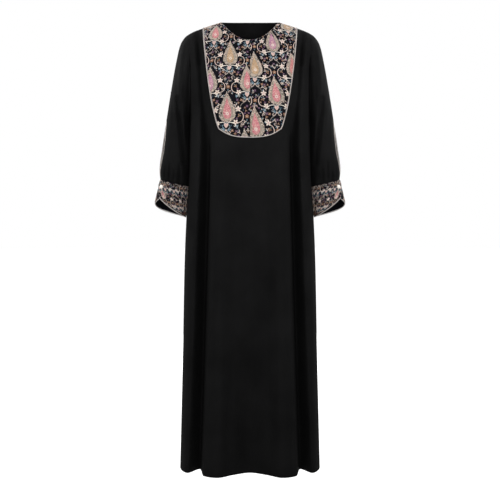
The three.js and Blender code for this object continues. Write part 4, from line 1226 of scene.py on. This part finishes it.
# Where the drops of each half stand on its flat cloth (across, down) and the colours they are worked in
BIB_DROPS = {
    "left": (
        (14, -20, "rust"), (14, 150, "gold"), (14, 320, "rose"), (72, 65, "plum"), (72, 232, "rose"),
        (130, -20, "gold"), (130, 150, "rust"), (130, 320, "gold"), (72, -104, "gold"), (72, 400, "gold"),
    ),
    "right": (
        (-8, 26, "gold"), (-8, 194, "rose"), (-12, 380, "plum"), (-62, 111, "gold"), (-62, 279, "rose"),
        (-117, 26, "rose"), (-117, 198, "plum"), (-117, 366, "gold"), (-62, -57, "rose"),
        (-117, -142, "gold"), (-8, -142, "gold"),
    ),
}
SEEDS_ACROSS = 175
SEEDS_UP = (-400, 110)
for side, name in ((1, "left"), (-1, "right")):
    work = Needlework(side + 2)
    for across, down, field in BIB_DROPS[name]:
        drop(work, np.array((across, -down)), field)
        sprays(work, np.array((across, -down)))
    edges = sorted((0, side * SEEDS_ACROSS))
    scatter_seeds(work, (edges[0], SEEDS_UP[0]), (edges[1], SEEDS_UP[1]))
    stitching = needlework_piece(f"bib_{name}_needlework", work, on_bib(side))


# ---- Piping of the bib ---------------------------------------------------------------------------------
# A cord covered with pale satin cut on the bias, caught in the seam round the bib so that it stands proud
# of it. It is one length, from one shoulder down round the foot of the bib and up to the other.
PIPING_RADIUS = 1.25
PIPING_SIDES = 12
PIPING_LIFT = PIPING_RADIUS + 0.6
BIB_SIDE_STEPS = 80
BIB_FOOT_STEPS = 40


def satin_material():
    """Satin cut on the bias: slanting fine lines, and small folds across the cord, with painted shade in
    the folds' hollows and painted highlight on their crests
    """
    material, tree, shader = material_with_shader("pale satin")
    coordinates = tree.nodes.new("ShaderNodeTexCoord")
    folds = add_noise(tree, coordinates.outputs["Object"], 260, 2)
    # painted shade and highlight: the colour follows the folds' relief, darker in their hollows and lighter
    # on their crests
    tones = add_tones(tree, folds, (0.36, 0.32, 0.3), (0.56, 0.52, 0.49), 0.3, 0.7)
    tree.links.new(tones, shader.inputs["Base Color"])
    lines = add_wave(tree, coordinates.outputs["Object"], "DIAGONAL", 500, 1.5)
    relief = add_relief(tree, add_math(tree, "ADD", lines, folds), 0.3, 0.0003)
    tree.links.new(relief, shader.inputs["Normal"])
    set_sockets(shader, {"Roughness": 0.42, "Specular IOR Level": 0.4})
    return material


pale_satin = satin_material()


def join_rings(build, rings):
    """The faces between rings of points, each ring with the next"""
    for before, after in zip(rings, rings[1:]):
        for n in range(len(before)):
            m = (n + 1) % len(before)
            build.faces.new((before[n], before[m], after[m], after[n]))


def piping(name, path, node, radius=PIPING_RADIUS):
    """A round cord along a path of points in millimetres"""
    path = np.asarray(path, float)
    tangent = np.gradient(path, axis=0)
    tangent /= np.linalg.norm(tangent, axis=1, keepdims=True)
    build = bmesh.new()
    rings = []
    across = np.cross(tangent[0], (0.3, 1, 0.2))
    for point, along_path in zip(path, tangent):
        across = across - along_path * np.dot(across, along_path)
        across /= np.linalg.norm(across)
        third = np.cross(along_path, across)
        angles = np.linspace(0, 2 * np.pi, PIPING_SIDES, endpoint=False)
        ring = [point + radius * (math.cos(a) * across + math.sin(a) * third) for a in angles]
        rings.append([build.verts.new(p * MM) for p in ring])
    join_rings(build, rings)
    build.faces.new(rings[0][::-1])
    build.faces.new(rings[-1])
    piece = smooth_piece(name, build)
    piece.data.materials.append(pale_satin)
    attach(piece, "root")
    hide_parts(node)


side_share = np.linspace(0.012, 1, BIB_SIDE_STEPS) ** YOKE_CROWDING
side_x, side_z = yoke_place(front_sheet, np.full(BIB_SIDE_STEPS, float(BIB_COLUMN)), side_share)
foot_columns = np.linspace(BIB_COLUMN, 0, BIB_FOOT_STEPS)[1:]
foot_x, foot_z = column_foot(foot_columns)
edge_x = np.concatenate([side_x, foot_x])
edge_z = np.concatenate([side_z, foot_z])
left_edge = front_points(edge_x, edge_z, np.full(len(edge_x), PIPING_LIFT))
right_edge = front_points(-edge_x, edge_z, np.full(len(edge_x), PIPING_LIFT))
piping("bib_piping_cord", np.vstack([left_edge, right_edge[::-1][1:]]), "bib_piping")


# ---- Piping of the sleeve slits ------------------------------------------------------------------------
# The same piping, a little thinner, along both edges of the slit that leaves the overarm seam open from
# the elbow to the cuff. The front edge draws back from the seam, and the back edge lies along it.
SLIT_PIPING_RADIUS = 1.15
PIPING_REACH = SLIT_PIPING_RADIUS + 1.5 * SEAM_GAP
BACK_EDGE_TURN = 1.6
SLIT_STEPS = 40


def sheet_point(sheet, x, z, region):
    """Points of a sheet's outer face at places of the front view"""
    depth = depth_at(sheet, region, x, z)
    return np.stack([x, -depth if sheet["forward"] else depth, z], axis=-1)


for side, name in ((1, "left"), (-1, "right")):
    for sheet, face in ((front_sheet, "front"), (back_sheet, "back")):
        share = np.linspace(0.05, 0.97, SLIT_STEPS)
        last = np.full(SLIT_STEPS, float(LAST_COLUMN))
        x, z = sleeve_place(sheet, last, share)
        edge = sheet_point(sheet, side * x, z, "sleeve")
        edge[slit_opening(sheet, -z) < CLOSED, 1] = 0
        beside_x, beside_z = sleeve_place(sheet, last - 1, share)
        beyond = edge - sheet_point(sheet, side * beside_x, beside_z, "sleeve")
        beyond[:, 2] = 0
        beyond /= np.linalg.norm(beyond, axis=1, keepdims=True)
        inward = np.array((-side, 0, 0)) - beyond * (-side * beyond[:, :1])
        inward /= np.linalg.norm(inward, axis=1, keepdims=True)
        path = edge + beyond * PIPING_REACH + inward * CLOTH / 2
        if face == "back":
            path += np.array((-side, 1, 0)) * BACK_EDGE_TURN * np.sin(np.pi * share)[:, None]
        piping(f"slit_piping_{face}_{name}_cord", path, f"slit_piping_{face}_{name}", SLIT_PIPING_RADIUS)


# ---- Cuffs ---------------------------------------------------------------------------------------------
# A tulip cuff is one band of the worked cloth wrapped round the wrist. Its front end laps over its back
# end below the slit, and its lower edge falls from a notch there to its longest at the inner arm.
CUFF_INNER = 201.5
CUFF_OUTER = 300
CUFF_HALF_DEPTH = 46
CUFF_NOTCH_DROP = 546
CUFF_INNER_DROP = 608
CUFF_NOTCH_ANGLE = 48
CUFF_CLOTH = 2.0
CUFF_END = 372
CUFF_STEPS_ROUND = 186
CUFF_STEPS_DOWN = 24
LAP_FROM = 318
LAP_TO = 350
LAP_DEPTH = CUFF_CLOTH + SEAM_GAP + 0.5
LAP_MARGIN = 20
INNER_ARM = 180 - CUFF_NOTCH_ANGLE


def cuff_drops(arc, down):
    """Drops of the cuff's upper and lower edges at a place round it"""
    across = (1 + np.cos(np.radians(CUFF_NOTCH_ANGLE * down + arc))) / 2
    lapped = np.mod(arc, 360)
    toward_inner = np.where(lapped < INNER_ARM, lapped / INNER_ARM, (360 - lapped) / (360 - INNER_ARM))
    lower = mix(CUFF_NOTCH_DROP, CUFF_INNER_DROP, np.sin(toward_inner * np.pi / 2))
    return mix(SLEEVE_INNER_DROP, SLEEVE_OUTER_DROP, across), lower


def cuff_point(side, arc, down):
    """Point of the cuff's outer face: arc in degrees round it from its front end, down from 0 to 1"""
    angle = np.radians(CUFF_NOTCH_ANGLE * down + arc)
    top, lower = cuff_drops(arc, down)
    inner = mix(along(SLEEVE_INNER, top), CUFF_INNER, down)
    outer = mix(along(OUTLINE, top), CUFF_OUTER, np.abs(down) ** 0.8)
    half_depth = mix(along(SLEEVE_DEPTH, top), CUFF_HALF_DEPTH, down)
    lap = smooth_step(arc, LAP_FROM, LAP_TO) * LAP_DEPTH
    x = (inner + outer) / 2 + ((outer - inner) / 2 - lap) * np.cos(angle)
    y = -(half_depth - lap) * np.sin(angle)
    return np.stack([side * x, y, -mix(top, lower, down)], axis=-1)


ARC_STEP = 0.5
DOWN_STEP = 0.01


def cuff_face(side, arc, down, lift):
    """Point of the cuff's outer face, lifted off it"""
    at = cuff_point(side, arc, down)
    round_it = cuff_point(side, arc + ARC_STEP, down) - cuff_point(side, arc - ARC_STEP, down)
    below = cuff_point(side, arc, down + DOWN_STEP) - at
    normal = np.cross(round_it, below) * side
    normal /= np.linalg.norm(normal, axis=-1, keepdims=True)
    return at + normal * np.asarray(lift)[..., None]


# The cuffs' work is the bib's at a smaller size, with one drop below the button and rows of sprays round
# the rest, every other spray of a row set higher. Places are across the flat work and down it.
CUFF_MM_PER_DEGREE = 0.8
CUFF_WORK_SIZE = 0.62
CUFF_DROP_PLACE = (36, 62)
CUFF_DROP_FIELD = "rose"
CUFF_DROP_SIZE = 0.66
CUFF_SPRAY_ROWS = (-10, 74)
CUFF_SPRAY_SET = 84
CUFF_SPRAY_STEP = 46
CUFF_SPRAYS_ROUND = 10
CUFF_SEEDS = ((0, -185), (436, 8))


def on_cuff(side):
    """Turns flat points of the needlework into points on a cuff, trimmed to its edges"""
    def place(points):
        arc = np.clip(points[:, 0] * CUFF_WORK_SIZE / CUFF_MM_PER_DEGREE, 1.0, LAP_FROM + LAP_MARGIN)
        top, lower = cuff_drops(arc, 0.5)
        down = np.clip(-points[:, 1] * CUFF_WORK_SIZE / (lower - top), 0.02, 0.975)
        return cuff_face(side, arc, down, points[:, 2])

    return place


for side, name in ((1, "left"), (-1, "right")):
    arcs = np.linspace(0, CUFF_END, CUFF_STEPS_ROUND + 1)
    arc, down = np.meshgrid(arcs, np.linspace(0, 1, CUFF_STEPS_DOWN + 1), indexing="ij")
    cuff = cloth_mesh(f"cuff_{name}_ground", [cuff_point(side, arc, down)], CUFF_CLOTH, [side > 0])
    cuff.data.materials.append(worked_ground)
    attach(cuff, "root")
    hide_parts(f"cuff_{name}")
    work = Needlework(side + 12)
    drop_across, drop_down = CUFF_DROP_PLACE
    drop(work, np.array((drop_across, -drop_down)), CUFF_DROP_FIELD, CUFF_DROP_SIZE)
    for n in range(CUFF_SPRAYS_ROUND):
        across = drop_across + (n - 0.5) * CUFF_SPRAY_STEP
        for row in CUFF_SPRAY_ROWS:
            sprays(work, np.array((across, CUFF_SPRAY_SET * (n % 2) - row)))
    scatter_seeds(work, *CUFF_SEEDS)
    if side < 0:
        work.faces = [face[::-1] for face in work.faces]
    stitching = needlework_piece(f"cuff_{name}_needlework", work, on_cuff(side))


# ---- Piping of the cuffs -------------------------------------------------------------------------------
# The same piping as round the bib, sewn along the lower edge of each cuff. It runs from the notch, where
# the cuff's front end starts, round the inner arm and under the lap.
CUFF_PIPING_END = 349
CUFF_PIPING_STEPS = 120
for side, name in ((1, "left"), (-1, "right")):
    arc = np.linspace(0, CUFF_PIPING_END, CUFF_PIPING_STEPS)
    edge = cuff_point(side, arc, np.ones_like(arc))
    near_edge = np.full_like(arc, 0.999)
    before = cuff_face(side, arc, near_edge, np.zeros_like(arc))
    normal = cuff_face(side, arc, near_edge, np.ones_like(arc)) - before
    along_edge = np.gradient(edge, axis=0)
    beyond = np.cross(along_edge, normal) * -side
    beyond /= np.linalg.norm(beyond, axis=1, keepdims=True)
    path = edge + beyond * (PIPING_RADIUS + SEAM_GAP) - normal * CUFF_CLOTH / 2
    piping(f"cuff_piping_{name}_cord", path, f"cuff_piping_{name}")


# ---- Pearl buttons -------------------------------------------------------------------------------------
# A pearl button with a flat back and a domed face on the lap of each cuff, just below the slit. It is
# sewn through the cloth and fastens the front end of the cuff over the back one.
BUTTON_RADIUS = 6.5
BUTTON_HEIGHT = 5.6
BUTTON_RIM = 0.8
BUTTON_ARC = 27
BUTTON_DOWN = 0.28
BUTTON_LIFT = 0.4
BUTTON_EDGE = ((0, 0), (0.9 * BUTTON_RADIUS, 0), (BUTTON_RADIUS, 0.35), (BUTTON_RADIUS, BUTTON_RIM))
BUTTON_SIDES = 32
DOME_STEPS = 12


def pearl_material():
    """Pearl: warm white under a clear coat, with faint cloudy growth"""
    material, tree, shader = material_with_shader("pearl")
    coordinates = tree.nodes.new("ShaderNodeTexCoord")
    cloudy = add_noise(tree, coordinates.outputs["Object"], 220, 3)
    tones = add_tones(tree, cloudy, (0.78, 0.7, 0.64), (0.88, 0.84, 0.78), 0.3, 0.7)
    tree.links.new(tones, shader.inputs["Base Color"])
    set_sockets(shader, {"Roughness": 0.22, "Coat Weight": 0.6, "Coat Roughness": 0.08})
    return material


pearl = pearl_material()
for side, name in ((1, "left"), (-1, "right")):
    seat_arc = np.array([BUTTON_ARC], float)
    seat_down = np.array([BUTTON_DOWN], float)
    seat = cuff_face(side, seat_arc, seat_down, np.array([BUTTON_LIFT]))[0]
    out = cuff_face(side, seat_arc, seat_down, np.array([BUTTON_LIFT + 1]))[0] - seat
    first = np.cross(out, (0, 0, 1))
    first /= np.linalg.norm(first)
    second = np.cross(out, first)
    profile = list(BUTTON_EDGE)
    for turn in np.linspace(0.1, math.pi / 2, DOME_STEPS):
        rise = BUTTON_RIM + (BUTTON_HEIGHT - BUTTON_RIM) * math.sin(turn)
        profile.append((max(BUTTON_RADIUS * math.cos(turn), 0), rise))
    build = bmesh.new()
    rings = []
    for radius, rise in profile:
        angles = np.linspace(0, 2 * np.pi, BUTTON_SIDES, endpoint=False)
        ring = [seat + out * rise + radius * (math.cos(a) * first + math.sin(a) * second) for a in angles]
        rings.append([build.verts.new(point * MM) for point in ring])
    join_rings(build, rings)
    bmesh.ops.remove_doubles(build, verts=build.verts, dist=0.01 * MM)
    bmesh.ops.recalc_face_normals(build, faces=build.faces)
    button = smooth_piece(f"button_{name}_pearl", build)
    button.data.materials.append(pearl)
    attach(button, "root")
    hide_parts(f"button_{name}")
